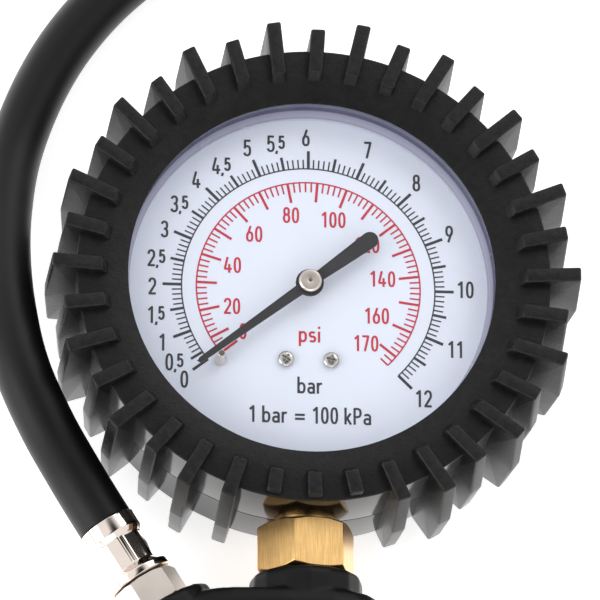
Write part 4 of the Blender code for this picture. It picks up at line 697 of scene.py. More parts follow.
def cast(cad_node: str, finish: Finish, body: str, voxel_mm: float, rounds: int) -> Object:
    """A CAD node's copy remade in small even faces and relaxed, which rounds its edges and fills its corners.

    Args:
        cad_node: The CAD node that the piece stands for.
        finish: Its finish.
        body: The body that it moves with.
        voxel_mm: Size of the new faces.
        rounds: Rounds of relaxing.

    Returns:
        The object.
    """
    rough = linked(cad_node + "_rough", merged_copy(cad_node, cad_node + "_rough"))
    configure(rough.modifiers.new("even_faces", "REMESH"), mode="VOXEL", voxel_size=voxel_mm * MM)
    configure(rough.modifiers.new("relaxed", "SMOOTH"), factor=0.5, iterations=rounds)
    bpy.context.view_layer.update()
    mesh = bpy.data.meshes.new_from_object(rough.evaluated_get(bpy.context.evaluated_depsgraph_get()))
    bpy.data.objects.remove(rough)
    return piece(cad_node + "_cast", mesh, finish, body, cad_node, sharp_deg=60.0)


def spring(cad_node: str, joint: str, way: Point, foot: Point, keep: float) -> Object:
    """A CAD spring's copy with a mesh of its own.

    Args:
        cad_node: The CAD node that the piece stands for.
        joint: The joint meant to press it; not used.
        way: The spring's own direction; not used.
        foot: Its end that stays, in millimetres; not used.
        keep: The share of its length that is left at the joint's limit; not used.

    Returns:
        The object.
    """
    name = cad_node + "_coil"
    made = piece(name, merged_copy(cad_node, name), STEEL, "gun", cad_node)
    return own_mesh(made, joint, axis=way, anchor=tuple(Vector(foot) * MM), keep=keep)


def paint(finish: Finish, *nodes: str) -> None:
    """Gives CAD nodes whose shape stays a finish.

    Args:
        finish: The finish.
        nodes: The CAD nodes.
    """
    for name in nodes:
        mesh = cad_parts[name].data
        mesh.materials.clear()
        mesh.materials.append(finish.material())
        LOG.info("%s: %s", name, finish.name)


# Sub-assemblies


@dataclass
class AirHose:
    """The hose with its two crimped sleeves."""

    # The hose: it leaves the near sleeve at a distance from the port's face, and its middle line runs over the route.
    radius: float = 5.5
    port: Point = (-28.0, -64.4, 15.0)
    way: Point = (-0.52992, 0.84805, 0.0)
    leave: float = 20.1
    route: tuple[Point, ...] = (
        (-45.4, -36.6, 15.8), (-50.5, -28.4, 18.2), (-55.4, -17.8, 19.4), (-58.1, -6.2, 17.8), (-59.3, 6.2, 13.8),
        (-59.1, 18.6, 9.4), (-57.2, 31.8, 6.3), (-52.6, 45.4, 5.8), (-46.0, 57.4, 5.8), (-36.6, 68.6, 5.8),
        (-22.5, 80.2, 5.8), (-4.0, 89.4, 5.8), (17.0, 93.4, 5.8), (38.0, 90.8, 5.8), (56.8, 81.6, 5.8),
        (70.4, 66.0, 5.8), (77.2, 46.0, 5.8), (78.0, 26.0, 6.2), (78.0, 8.0, 7.1),
    )
    end: Point = (78.0, -6.0, 7.3)
    line_points: int = 360
    path_step: int = 4
    sides: int = 40
    # The sleeves: radii of their features, and the flats and corner grooves that the crimping leaves.
    sleeve_from_port: float = 6.8
    sleeve_past_end: float = 0.3
    near_length: float = 13.0
    far_length: float = 14.3
    bore: float = 3.2
    flange: float = 6.6
    waist: float = 5.1
    collar: float = 5.85
    mouth: float = 2.5
    crimps: int = 8
    crimp_depth: float = 0.28
    crimp_corner: float = 0.12
    groove: float = 0.3
    groove_spread: float = 0.075
    sleeve_sides: int = 256
    sleeve_sharp_deg: float = 24.0
    fitting_edge: float = 0.2

    def line(self) -> Array:
        """The hose's middle line, from the near sleeve to the far one."""
        way = np.array(self.way)
        start = np.array(self.port) + way * self.leave
        points = np.concatenate([[start, start + way * self.radius], np.array(self.route), [self.end]])
        return smooth_line(points, self.line_points)

    def sleeve(self, length: float) -> Surface:
        """One crimped sleeve along +Z, flange first.

        The round radius runs from the flange over the waist to the collar. Over the waist it gives way to a polygon
        whose radius is its flat distance over the cosine of the angle from the middle of the nearest flat, less a
        narrow groove at each corner that falls off with the square of the angle from it.

        Args:
            length: Length of the sleeve.

        Returns:
            The sleeve, open inside the collar, where the hose goes in.
        """
        profile = rounded(
            [
                (self.bore, 0.0, 0.0), (self.flange, 0.0, 0.45), (self.flange, 1.5, 0.5), (self.waist, 2.9, 0.9),
                (self.waist, length - 4.2, 0.7), (self.collar, length - 3.0, 0.6), (self.collar, length, 0.5),
                (self.radius, length, 0.1), (self.radius, length - self.mouth, 0.1),
                (self.bore, length - self.mouth, 0.0),
            ],
            steps=7,
            closed=False,
        )
        angle = full_turn(self.sleeve_sides)
        radius, height = profile[:, :1], profile[:, 1:]
        half = np.pi / self.crimps
        nearest = np.mod(angle, 2 * half) - half
        groove = self.groove * np.exp(-(((half - np.abs(nearest)) / self.groove_spread) ** 2))
        flat = np.minimum((self.waist - self.crimp_depth) / np.cos(nearest), self.waist + self.crimp_corner) - groove
        outside = radius > self.waist - self.groove
        crimped = easing(height, 2.2, 3.4) * (1 - easing(height, length - 4.6, length - 3.4)) * outside
        return Surface.grid(about_z(radius * (1 - crimped) + flat * crimped, height, angle))

    def build(self, chuck_pieces: list[Object]) -> None:
        """The hose, its sleeves and the fitting.

        Args:
            chuck_pieces: The pieces on its far end; not used.
        """
        line = self.line()
        hose = piece("air_hose_rubber", tube(line, self.radius, self.sides), HOSE_RUBBER, "gun", "air_hose")
        near_foot = Vector(self.port) + Vector(self.way) * self.sleeve_from_port
        far_foot = Vector(self.end) - Vector((0, self.sleeve_past_end + self.far_length, 0))
        near_piece, far_piece = (
            piece(
                f"{side}_crimped_sleeve", self.sleeve(length).placed(along_axis(foot, way)), CHROME, "gun",
                f"hose_ferrule_{side}", sharp_deg=self.sleeve_sharp_deg,
            )
            for side, length, foot, way in (
                ("near", self.near_length, near_foot, self.way), ("far", self.far_length, far_foot, (0.0, 1.0, 0.0)),
            )
        )
        eased("hose_fitting", SATIN_CHROME, "gun", self.fitting_edge)


@dataclass
class Chuck:
    """The clip-on chuck at the hose's end, kept in its own shape with eased edges.

    Args:
        edge: Width of the eased edges.
        spring_foot: Where the lever's spring stands.
        spring_keep: Share of the spring's length that is left under the pressed lever.
    """

    edge: float = 0.35
    spring_foot: Point = (78.0, -30.6, 14.3)
    spring_keep: float = 0.15

    def build(self) -> list[Object]:
        """The chuck's pieces.

        Returns:
            The objects that lie on the hose's end.
        """
        paint(SEAL_BLACK, "chuck_seal")
        paint(STEEL, "chuck_lever_pin")
        pieces = [
            eased("chuck_body", CHROME, "gun", self.edge),
            eased("chuck_lever", CHROME, "chuck_lever", self.edge),
            spring("chuck_spring", "chuck_lever_tip", (0.0, 0.0, 1.0), self.spring_foot, self.spring_keep),
        ]
        return pieces + [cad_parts[n] for n in ("chuck_seal", "chuck_lever_pin")]


@dataclass
class Boot:
    """The rubber boot: a turned shell with 36 lugs, every other one long."""

    # The shell: radii, heights above the rear face, and the size of the groove at the mould's parting line.
    opening: float = 35.75
    bore: float = 40.3
    radius: float = 46.2
    front: float = 28.9
    parting: float = 16.0
    groove_half: float = 0.16
    groove_depth: float = 0.3
    back_wall: float = 2.5
    lip: float = 1.0
    lip_slope: float = 0.6
    rear_chamfer: float = 3.6
    steps: int = 324
    # The lugs, and the ribs on the front face that they run into.
    count: int = 36
    cut_at_stem: tuple[int, ...] = (17, 18, 19)
    lug_width: float = 2.85
    lug_edge: float = 0.45
    lug_root: float = 4.0
    long_reach: float = 6.1
    short_reach: float = 4.3
    front_draft: float = 0.9
    rear_draft: float = 1.1
    rear_height: float = 2.6
    rib_height: float = 2.0
    rib_ramp: float = 1.6
    rib_reach_in: float = 6.5
    rib_bury: float = 0.5
    # How it sits: the largest move to the right and up, and how the shares of it run.
    settled: Span = (1.35, 1.3)
    opening_share: float = 0.2
    stem_lag: float = 0.2
    wall_share: float = 0.6
    wall_rise: Span = (1.0, 6.0)
    stem_hold: Span = (12.0, 19.0)
    # Painted light on the lip, which leaves its top dark as painted shade; wear of the lugs' flats, edges and sides;
    # and polish at the lugs' rear ends.
    lip_painted_light: float = 0.15
    flat_wear: float = 0.55
    edge_wear: float = 0.45
    side_wear: float = 0.1
    wear_depth: float = 6.0
    rear_polish: float = 0.4
    polish_below: float = 5.0
    sharp_deg: float = 50.0

    def shell(self) -> Surface:
        """The turned shell: rear face, wall with the parting groove, front face with its lip, and the inside."""
        radius, front, bore = self.radius, self.front, self.bore
        under = front - self.lip
        profile = rounded(
            [
                (0.0, 0.0, 0.0), (radius - self.rear_chamfer, 0.0, 1.0), (radius, self.rear_chamfer, 1.0),
                (radius, self.parting - self.groove_half, 0.05), (radius - self.groove_depth, self.parting, 0.05),
                (radius, self.parting + self.groove_half, 0.05), (radius, front, 0.4), (bore, front, 30.0),
                (self.opening, front - self.lip_slope, 0.3), (self.opening, under, 0.1), (bore, under, 0.1),
                (bore, self.back_wall, 0.3), (0.0, self.back_wall, 0.0),
            ],
            closed=False,
        )
        turned = lathe(profile, self.steps)
        on_wall = (profile[:, 0] > radius - 0.5) & (profile[:, 1] < front - 0.3)
        on_lip = (profile[:, 0] < bore - 0.5) & (profile[:, 1] > under + 0.1)
        # Painted light on the lip: paler all round, fading out over the upper half, so that the top stays dark as
        # painted shade. The wall is marked as polished.
        painted_light_below_top = 1 - np.clip(np.sin(full_turn(self.steps)), 0, 1)
        turned.wear_and_painted_light = (self.lip_painted_light * on_lip[:, None] * painted_light_below_top - 1.0 * on_wall[:, None]).reshape(-1)
        return turned

    def settle(self, surface: Surface, leaning: bool) -> Surface:
        """The boot as it sits, pulled a little up and to the right.

        Each point moves by a share of one shift. The share grows from a small one at the opening to all of it at the
        lugs' ends. The lugs lean: their move to the right is largest at the top of the boot and smallest at the
        stem, and their move up falls with the square of the depth under the ribs, down to the parting line. The wall
        moves as a whole by a smaller share, but leans close to the stem, which holds it back.

        Args:
            surface: The boot as moulded.
            leaning: Whether the surface is the lugs, which lean.

        Returns:
            The boot on its gauge.
        """
        x, y, z = surface.points.T
        radius = np.hypot(x, y)
        outwards = np.clip((radius - self.opening) / (self.radius + self.long_reach - self.opening), 0, 1)
        lean = np.clip((z - self.parting) / (self.front + self.rib_height - self.parting), 0, 1) ** 2
        aside = (1 - self.stem_lag) + self.stem_lag * y / np.maximum(radius, 1.0)
        if not leaning:
            at_stem = (1 - easing(np.abs(x), *self.stem_hold)) * (y < 0)
            aside = lean = self.wall_share * (lean * at_stem + easing(z, *self.wall_rise) * (1 - at_stem))
        share = self.opening_share + (1 - self.opening_share) * outwards
        shift = np.stack([self.settled[0] * share * aside, self.settled[1] * share * lean, np.zeros_like(z)], 1)
        return Surface(surface.points + shift, surface.faces, surface.wear_and_painted_light)

    def outline(self, reach: float | None) -> Array:
        """A lug's section through the dial's axis, as radius and height.

        Args:
            reach: How far it stands out of the wall, or nothing for a rib that ends flush beside the stem.

        Returns:
            The rounded outline.
        """
        root, top = self.radius - self.lug_root, self.front + self.rib_height
        foot, buried = self.radius - self.rib_reach_in, self.front - self.rib_bury
        ramp_up = [(foot, buried, 0.1), (foot + self.rib_ramp, top, 0.6)]
        if reach is None:
            rim, below = self.radius - 0.2, buried - 3.0
            return rounded([*ramp_up, (rim, top, 0.5), (rim, below, 0.1), (root, below, 0.1)])
        tip = self.radius + reach
        return rounded([
            *ramp_up, (tip - self.front_draft, top, 0.55), (tip, self.parting, 0.6),
            (tip - self.rear_draft, self.rear_height, 0.7), (root, 1.0, 0.3), (root, buried - 1.5, 0.1),
        ])

    def lugs(self, outline: Array, places: Array) -> Surface:
        """Plates of one outline at several places round the dial.

        A plate is a grid. Along the outline it follows the section; across it, it starts at the middle of one side,
        goes out to the edge, round a quarter circle, over the width, round the other quarter circle and back to the
        middle of the other side. The quarter circle draws the outline in by the edge's radius times one minus the
        sine, while it moves sideways by the radius times one minus the cosine.

        Args:
            outline: The section, as radius and height.
            places: Numbers of the lugs, clockwise from the top.

        Returns:
            The plates.
        """
        way = unit(np.roll(outline, -1, 0) - np.roll(outline, 1, 0), TINY)
        outward = np.stack([way[:, 1], -way[:, 0]], 1)
        middle = outline.mean(0)
        outward *= np.sign(((outline - middle) * outward).sum(1, keepdims=True))
        turn = np.radians(np.linspace(0, 90, 5))
        inset = self.lug_edge * (1 - np.sin(turn))
        side = self.lug_width / 2 - self.lug_edge * (1 - np.cos(turn))
        rings = outline[None] - outward[None] * inset[:, None, None]
        pole = np.broadcast_to(middle, (1, *outline.shape))
        section = np.concatenate([pole, rings, rings[::-1], pole])
        across = np.concatenate([[-side[0]], -side, side[::-1], [side[0]]])
        rubbed = self.flat_wear + self.edge_wear * np.sin(2 * turn)
        marked = np.concatenate([[self.side_wear], rubbed, rubbed[::-1], [self.side_wear]])
        height, wear_from = outline[:, 1], self.front - self.wear_depth
        marked = marked[:, None] * easing(height, wear_from, self.front + 1.5)[None]
        marked = marked - self.rear_polish * (1 - easing(height, self.polish_below, wear_from))[None]
        angle = np.pi / 2 - 2 * np.pi * places / self.count
        radial = np.stack([np.cos(angle), np.sin(angle)], 1)[:, None, None]
        tangent = np.stack([-np.sin(angle), np.cos(angle)], 1)[:, None, None]
        flat = radial * section[None, ..., :1] + tangent * across[None, :, None, None]
        points = np.concatenate([flat, np.broadcast_to(section[None, ..., 1:], (*flat.shape[:3], 1))], -1)
        rows, columns = section.shape[:2]
        starts = np.arange(len(places))[:, None, None] * rows * columns
        faces = grid_faces(rows, columns, False, True)[None] + starts
        wear_and_painted_light = np.broadcast_to(marked, (len(places), rows, columns))
        return Surface(points.reshape(-1, 3), faces.reshape(-1, 4), wear_and_painted_light.reshape(-1))

    def build(self) -> None:
        """The boot as one piece of rubber."""
        numbers = np.arange(self.count)
        flush = np.isin(numbers, self.cut_at_stem)
        lugs = joined([
            self.lugs(self.outline(self.long_reach), numbers[(numbers % 2 == 1) & ~flush]),
            self.lugs(self.outline(self.short_reach), numbers[(numbers % 2 == 0) & ~flush]),
            self.lugs(self.outline(None), numbers[flush]),
        ])
        boot = joined([self.settle(self.shell(), False), self.settle(lugs, True)])
        piece("lugged_boot", boot, BOOT_RUBBER, "gun", "gauge_boot", sharp_deg=self.sharp_deg)


class Glyphs:
    """Plain upright figures and letters as strokes, in units of the figures' height, on a baseline of 0."""

    weight = 0.13
    gap = 0.1
    after_comma = 0.78
    layer_mm = 0.004
    layers = 4

    @staticmethod
    def bend(x: float, y: float, wide: float, high: float, start: float, end: float, count: int = 17) -> Array:
        """A stroke along a squarish round: x and y follow the cosine and sine to the power 0.8.

        Args:
            x: Middle of the round.
            y: Middle of the round.
            wide: Half its width.
            high: Half its height.
            start: First angle in degrees.
            end: Last angle in degrees.
            count: Points on the stroke.

        Returns:
            The stroke's points.
        """
        angle = np.radians(np.linspace(start, end, count))
        c, s = np.cos(angle), np.sin(angle)
        return np.stack([x + wide * np.sign(c) * np.abs(c) ** 0.8, y + high * np.sign(s) * np.abs(s) ** 0.8], 1)

    @staticmethod
    def bar(*points: Span) -> Array:
        """A straight stroke through points."""
        return np.array(points, float)

    @classmethod
    def strokes(cls, sign: str) -> tuple[float, list[Array]]:
        """The width of a sign and its strokes.

        Args:
            sign: One figure, letter or mark.

        Returns:
            The width between the middles of its outer strokes, and the strokes.
        """
        bend, bar, join = cls.bend, cls.bar, np.concatenate
        # Width of a figure, middles of its highest and lowest strokes, and height of a small letter.
        w, h, low, x = 0.31, 0.944, 0.056, 0.66
        m = w / 2
        bowl = bend(0.17, x / 2, 0.17, x / 2 - low, 0, 360, 29)
        table = {
            "0": (w, [bend(m, 0.5, m, h - 0.5, 0, 360, 33)]),
            "1": (0.27, [bar((0.19, 0), (0.19, 1.0)), bar((0.19, h), (0.0, 0.76))]),
            "2": (w, [join([bend(m, 0.70, m, h - 0.70, 175, -25), bar((0.0, low))]),
                      bar((-0.05, low), (w + 0.05, low))]),
            "3": (w, [join([bend(m, 0.73, 0.145, h - 0.73, 165, -90), bar((0.12, 0.516))]),
                      bend(m, 0.286, m, 0.23, 90, -165)]),
            "4": (0.37, [bar((0.17, 1.0), (0.0, 0.27)), bar((-0.03, 0.25), (0.42, 0.25)),
                         bar((0.27, 0.55), (0.27, 0.0))]),
            "5": (w, [bar((w + 0.02, h), (0.0, h)), bar((0.03, 1.0), (0.015, 0.46)),
                      bend(m - 0.01, 0.335, m + 0.01, 0.279, 140, -160)]),
            "6": (w, [bend(m, 0.325, m, 0.269, 0, 360, 33), bar((0.03, 0.44), (0.21, 1.0))]),
            "7": (w, [bar((-0.05, h), (w + 0.05, h)), bar((w, h), (0.1, 0.0))]),
            "8": (w, [bend(m, 0.735, 0.135, 0.209, 0, 360, 29), bend(m, 0.29, m, 0.234, 0, 360, 29)]),
            "9": (w, [bend(m, 0.675, m, 0.269, 0, 360, 33), bar((w - 0.03, 0.56), (0.1, 0.0))]),
            ",": (-0.12, [bar((-0.03, 0.09), (-0.08, -0.11))]),
            "=": (0.56, [bar((0, 0.26), (0.56, 0.26)), bar((0, 0.5), (0.56, 0.5))]),
            " ": (0.03, []),
            "b": (0.34, [bar((0, 0), (0, 1.0)), bowl]),
            "p": (0.34, [bar((0, -0.24), (0, x)), bowl]),
            "a": (0.31, [bar((0.31, 0), (0.31, 0.42)), bend(0.155, 0.2, 0.155, 0.15, 0, 360, 29),
                         bend(0.155, 0.42, 0.155, x - low - 0.42, 0, 150)]),
            "r": (0.21, [bar((0, 0), (0, x)), bend(0.21, 0.36, 0.21, x - low - 0.36, 180, 85)]),
            "s": (0.3, [join([bend(0.15, 0.475, 0.15, 0.13, 35, 270), bend(0.15, 0.2, 0.15, 0.145, 90, -145)])]),
            "i": (0.0, [bar((0, 0), (0, x)), bar((0, 0.82), (0, 0.96))]),
            "k": (0.29, [bar((0, 0), (0, 1.0)), bar((0.02, 0.26), (0.29, x)), bar((0.1, 0.36), (0.31, 0))]),
            "P": (0.34, [bar((0, 0), (0, 1.0)),
                         join([bar((0, h)), bend(0.14, 0.7, 0.2, h - 0.7, 90, -90), bar((0, 0.456))])]),
        }
        return table[sign]

    @staticmethod
    def ribbon(stroke: Array, width: float, height: float) -> Surface:
        """A flat ribbon along a stroke, half its width to each side along the stroke's level normal.

        Args:
            stroke: The stroke's points, as x and y.
            width: The ribbon's width.
            height: Its height above the origin.

        Returns:
            The ribbon, facing up.
        """
        way = np.gradient(stroke, axis=0)
        if np.allclose(stroke[0], stroke[-1], atol=1e-6):
            way[[0, -1]] = way[[0]] + way[[-1]]
        way = unit(way, 1e-12)
        left = np.stack([-way[:, 1], way[:, 0]], 1) * width / 2
        rows = np.stack([stroke + left, stroke - left])
        points = np.concatenate([rows, np.full((*rows.shape[:2], 1), height)], -1)
        return Surface(points.reshape(-1, 3), grid_faces(2, len(stroke))[:, ::-1])

    @classmethod
    def label(cls, text: str, size: float, x: float, y: float, height: float) -> list[Surface]:
        """A label; a figure after a comma is smaller and stands higher, and strokes that cross lie in layers.

        Args:
            text: The label.
            size: Height of its figures.
            x: Middle of the label.
            y: Its baseline.
            height: Height of its ink above the origin.

        Returns:
            The label's ribbons.
        """
        made: list[Surface] = []
        pen, scale = 0.0, 1.0
        for sign in text:
            wide, strokes = cls.strokes(sign)
            for i, stroke in enumerate(strokes):
                line = (stroke * scale + (pen, 1.0 - scale)) * size
                made.append(cls.ribbon(line, cls.weight * size, height + cls.layer_mm * (i % cls.layers)))
            pen += wide * scale + cls.gap + cls.weight
            scale = cls.after_comma if sign == "," else scale
        middle = (pen - cls.gap - cls.weight) * size / 2
        return [Surface(s.points + (x - middle, y, 0.0), s.faces) for s in made]


@dataclass
class Gauge:
    """The dial with its print, the pointer and its bush, the screws, the lens and the stem."""

    # The scales: 0 bar lies at their start by the degrees for one bar, but the pointer's stop and the print's
    # first tick are a little further on.
    face: float = 21.4
    scale_start: float = -135.0
    per_bar: float = 22.5
    full: int = 12
    zero_deg: float = -127.9
    psi_in_bar: float = 14.5
    psi_early_deg: float = 1.2
    ink_lift: float = 0.05
    tick_lift: float = 0.006
    arc_points: int = 181
    # Arcs: radius and width. Ticks: the radius of their free end and their width.
    bar_arc: Span = (24.8, 0.26)
    bar_ticks: tuple[Span, Span, Span] = ((28.5, 0.57), (27.5, 0.52), (26.7, 0.28))
    psi_arc: Span = (21.9, 0.29)
    psi_ticks: tuple[Span, Span] = ((17.9, 0.5), (19.9, 0.31))
    # Figures with their angle and radius, and words with their middle and baseline.
    figure: float = 3.45
    bar_figures: Places = (
        ("0", -128.9, 31.0), ("0,5", -121.6, 30.6), ("1", -112.9, 30.9), ("1,5", -102.2, 30.4), ("2", -91.0, 30.5),
        ("2,5", -79.9, 30.2), ("3", -68.1, 30.4), ("3,5", -56.7, 30.3), ("4", -45.3, 31.0), ("4,5", -34.6, 30.2),
        ("5", -22.7, 31.2), ("5,5", -12.1, 30.5), ("6", -0.9, 31.3), ("7", 21.9, 31.4), ("8", 43.4, 31.0),
        ("9", 66.5, 30.2), ("10", 89.0, 30.8), ("11", 112.4, 31.1), ("12", 134.6, 31.5),
    )
    psi_figure: float = 3.25
    psi_figures: Places = (
        ("0", -126.1, 15.8), ("20", -105.7, 15.5), ("40", -73.9, 15.5), ("60", -44.4, 15.2), ("80", -12.8, 15.4),
        ("100", 18.9, 15.1), ("120", 51.2, 14.8), ("140", 81.0, 14.7), ("160", 111.9, 14.4), ("170", 134.6, 15.8),
    )
    word: float = 3.4
    bar_words: Places = (("bar", 0.3, -21.7), ("1 bar = 100 kPa", 0.3, -27.8))
    psi_words: Places = (("psi", 0.2, -11.2),)
    # Screws: side, place and turn of the cross.
    screws: Places = (("left", -4.4, 0.6), ("right", 4.4, 0.25))
    screw_y: float = -14.9
    screw_radius: float = 1.53
    screw_lift: float = 0.3
    screw_rings: int = 30
    screw_steps: int = 120
    dome: float = 0.9
    dome_fall: float = 0.38
    flank: float = 0.3
    flank_share: float = 0.98
    cross_depth: float = 0.5
    cross_width: Span = (0.1, 0.22)
    cross_reach: Span = (0.72, 0.98)
    # Stop, pointer and bush.
    stop_edge: float = 0.15
    pointer_edge: float = 0.08
    hub: float = 2.75
    blade: float = 24.5
    blade_taper: float = 0.2
    tail_growth: float = 0.045
    cap_lift: float = 0.3
    cap_radius: float = 2.25
    cap_neck: float = 1.4
    cap_steps: int = 72
    # Lens and stem.
    lens_radius: float = 38.8
    lens_front: float = 27.6
    lens_back: float = 26.4
    skirt_lift: float = 0.3
    skirt_gap: float = 0.05
    lens_steps: int = 144
    skirt_steps: int = 216
    stem_edge: float = 0.3

    def at(self, bar: float | Array) -> float | Array:
        """The angle of a pressure in bar."""
        return self.scale_start + self.per_bar * bar

    def arc(self, size: Span, start: float) -> Surface:
        """A printed arc of a radius and a width, from an angle to the full pressure."""
        angle = np.radians(90.0 - np.linspace(start, self.at(self.full), self.arc_points))
        line = size[0] * np.stack([np.cos(angle), np.sin(angle)], 1)
        return Glyphs.ribbon(line, size[1], self.face + self.ink_lift)

    def ticks(self, angles: Array | list[float], arc: float, size: Span) -> Surface:
        """Printed ticks: for each angle a rectangle from its arc to its free end.

        Args:
            angles: The ticks' angles.
            arc: Radius of the arc.
            size: Radius of the free end, and width.

        Returns:
            The ticks, facing up.
        """
        inner, outer, half = min(arc, size[0]), max(arc, size[0]), size[1] / 2
        turn = np.radians(90.0 - np.asarray(angles, float))[:, None]
        along, across = np.array([inner, inner, outer, outer]), np.array([-half, half, half, -half])
        x = np.cos(turn) * along - np.sin(turn) * across
        y = np.sin(turn) * along + np.cos(turn) * across
        height = np.full_like(x, self.face + self.ink_lift + self.tick_lift)
        faces = np.arange(4 * len(turn)).reshape(-1, 4)[:, ::-1]
        return Surface(np.stack([x, y, height], -1).reshape(-1, 3), faces)

    def print_scale(
        self, name: str, finish: Finish, marks: list[Surface], figure: float, figures: Places, words: Places,
    ) -> None:
        """Puts a scale on the dial as one piece.

        Args:
            name: The piece's name.
            finish: The ink.
            marks: The scale's arc and ticks.
            figure: Height of its figures.
            figures: Its upright figures, with the angle and radius of their middles.
            words: Its words, with their middle and baseline.
        """
        ink, height = list(marks), self.face + self.ink_lift
        for text, degrees, radius in figures:
            turn = math.radians(90.0 - degrees)
            ink += Glyphs.label(text, figure, radius * math.cos(turn), radius * math.sin(turn) - figure / 2, height)
        for text, x, y in words:
            ink += Glyphs.label(text, self.word, x, y, height)
        piece(name, joined(ink).mesh(name), finish, "gun")

    def print_scales(self) -> None:
        """The outer scale in dark ink and the inner one in red: arcs, ticks, figures and words."""
        tenths = np.arange(5, 10 * self.full + 1) / 10
        small = self.at(np.concatenate([[0.1, 0.2, 0.3, 0.4], tenths[(tenths * 10).astype(int) % 5 != 0]]))
        whole = [self.zero_deg, *(self.at(b) for b in range(1, self.full + 1))]
        halves = [self.at(b + 0.5) for b in range(self.full)]
        marks = zip((whole, halves, small[small > self.zero_deg + 1]), self.bar_ticks)
        ink = [self.arc(self.bar_arc, self.zero_deg)]
        ink += [self.ticks(angles, self.bar_arc[0], size) for angles, size in marks]
        self.print_scale("bar_scale_print", BAR_INK, ink, self.figure, self.bar_figures, self.bar_words)
        step, start = self.per_bar / self.psi_in_bar, self.zero_deg - self.psi_early_deg
        twos = np.arange(6, 175, 2)
        tens = np.concatenate([[start], self.scale_start + step * np.arange(10, 171, 10)])
        marks = zip((tens, self.scale_start + step * twos[twos % 10 != 0]), self.psi_ticks)
        ink = [self.arc(self.psi_arc, start)]
        ink += [self.ticks(angles, self.psi_arc[0], size) for angles, size in marks]
        self.print_scale("psi_scale_print", PSI_INK, ink, self.psi_figure, self.psi_figures, self.psi_words)

    def screw(self, turned_by: float) -> Surface:
        """A dial screw's head about Z from height 0: a low dome with a cross recess.

        The dome falls from its middle with the fourth power of the radius. Two arms at right angles are sunk in it;
        each arm's depth eases to nothing across its width and towards its end.

        Args:
            turned_by: Turn of the cross in radians.

        Returns:
            The head with its flank.
        """
        share = np.concatenate([np.linspace(0, 1, self.screw_rings), [1.0, self.flank_share]])[:, None]
        angle = full_turn(self.screw_steps)
        radius = self.screw_radius * share
        x, y = radius * np.cos(angle + turned_by), radius * np.sin(angle + turned_by)
        arms = [
            (1 - easing(np.abs(a), *self.cross_width)) * (1 - easing(np.abs(b), *self.cross_reach))
            for a, b in ((x, y), (y, x))
        ]
        dome = self.dome - self.dome_fall * share**4 - self.cross_depth * np.maximum(*arms)
        dome[-2:] = [[self.flank], [0.0]]
        return Surface.grid(about_z(radius, dome, angle))

    def taper(self, mesh: Mesh) -> None:
        """Draws the pointer out past its hub: the tail grows longer, and the blade narrows towards its tip.

        Along the blade a point's distance past the hub is stretched on the tail's side, and across it the distance
        from the middle line shrinks in proportion to the distance past the hub on the blade's side.

        Args:
            mesh: The pointer's mesh, in metres.
        """
        points = np.empty(len(mesh.vertices) * 3)
        mesh.vertices.foreach_get("co", points)
        points = points.reshape(-1, 3)
        turn = math.radians(90.0 - self.zero_deg)
        along, across = np.array([math.cos(turn), math.sin(turn)]), np.array([-math.sin(turn), math.cos(turn)])
        far, aside = points[:, :2] @ along, points[:, :2] @ across
        far += np.minimum(far + self.hub * MM, 0) * self.tail_growth
        aside *= 1 - self.blade_taper * np.clip((far / MM - self.hub) / self.blade, 0, 1)
        points[:, :2] = far[:, None] * along + aside[:, None] * across
        mesh.vertices.foreach_set("co", points.reshape(-1))
        mesh.update()

    def build_fixings(self) -> None:
        """The two dial screws, the zero stop and the pointer with its bush."""
        for side, x, turned_by in self.screws:
            head = self.screw(turned_by).placed(Matrix.Translation((x, self.screw_y, self.face + self.screw_lift)))
            piece(f"dial_screw_head_{side}", head, STEEL, "gun", f"dial_screw_{side}")
        eased("zero_stop_pin", CHROME, "gun", self.stop_edge)
        self.taper(eased("pointer", POINTER_PAINT, "pointer_train", self.pointer_edge).data)
        low, high = (v.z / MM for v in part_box("pointer_bush"))
        top, rim, neck = high + self.cap_lift, self.cap_radius, self.cap_neck
        profile = rounded(
            [
                (0.0, top - 1.5, 0.0), (0.36, top - 1.5, 0.05), (0.42, top, 0.06), (rim - 0.3, top, 0.25),
                (rim, top - 0.3, 0.12), (rim, top - 0.9, 0.08), (neck, top - 0.9, 0.05), (neck, low, 0.05),
                (0.0, low, 0.0),
            ],
            closed=False,
        )
        piece("pointer_cap", lathe(profile, self.cap_steps), NICKEL, "pointer_train", "pointer_bush")

    def build_lens(self) -> None:
        """The lens: a clear disc, and the skirt whose inside leans in towards the dial."""
        radius, front, back = self.lens_radius, self.lens_front, self.lens_back
        disc = rounded([(0.0, front, 0.0), (radius, front, 0.3), (radius, back, 0.1), (0.0, back, 0.0)], closed=False)
        piece("lens_disc", lathe(disc, self.lens_steps), LENS_CLEAR, "gun", "gauge_lens")
        foot, top = self.face + self.skirt_lift, back - self.skirt_gap
        skirt = rounded([
            (radius, top, 0.1), (radius, foot, 0.1), (34.9, foot, 0.1), (35.2, foot + 0.9, 0.4),
            (36.2, back - 1.6, 0.3), (36.6, top, 0.1),
        ])
        # The skirt's finish paints reflections and shade in bands over its height.
        piece("lens_skirt", lathe(skirt, self.skirt_steps, closed=True), LENS_EDGE_PAINTED_LIGHT, "gun", "gauge_lens")

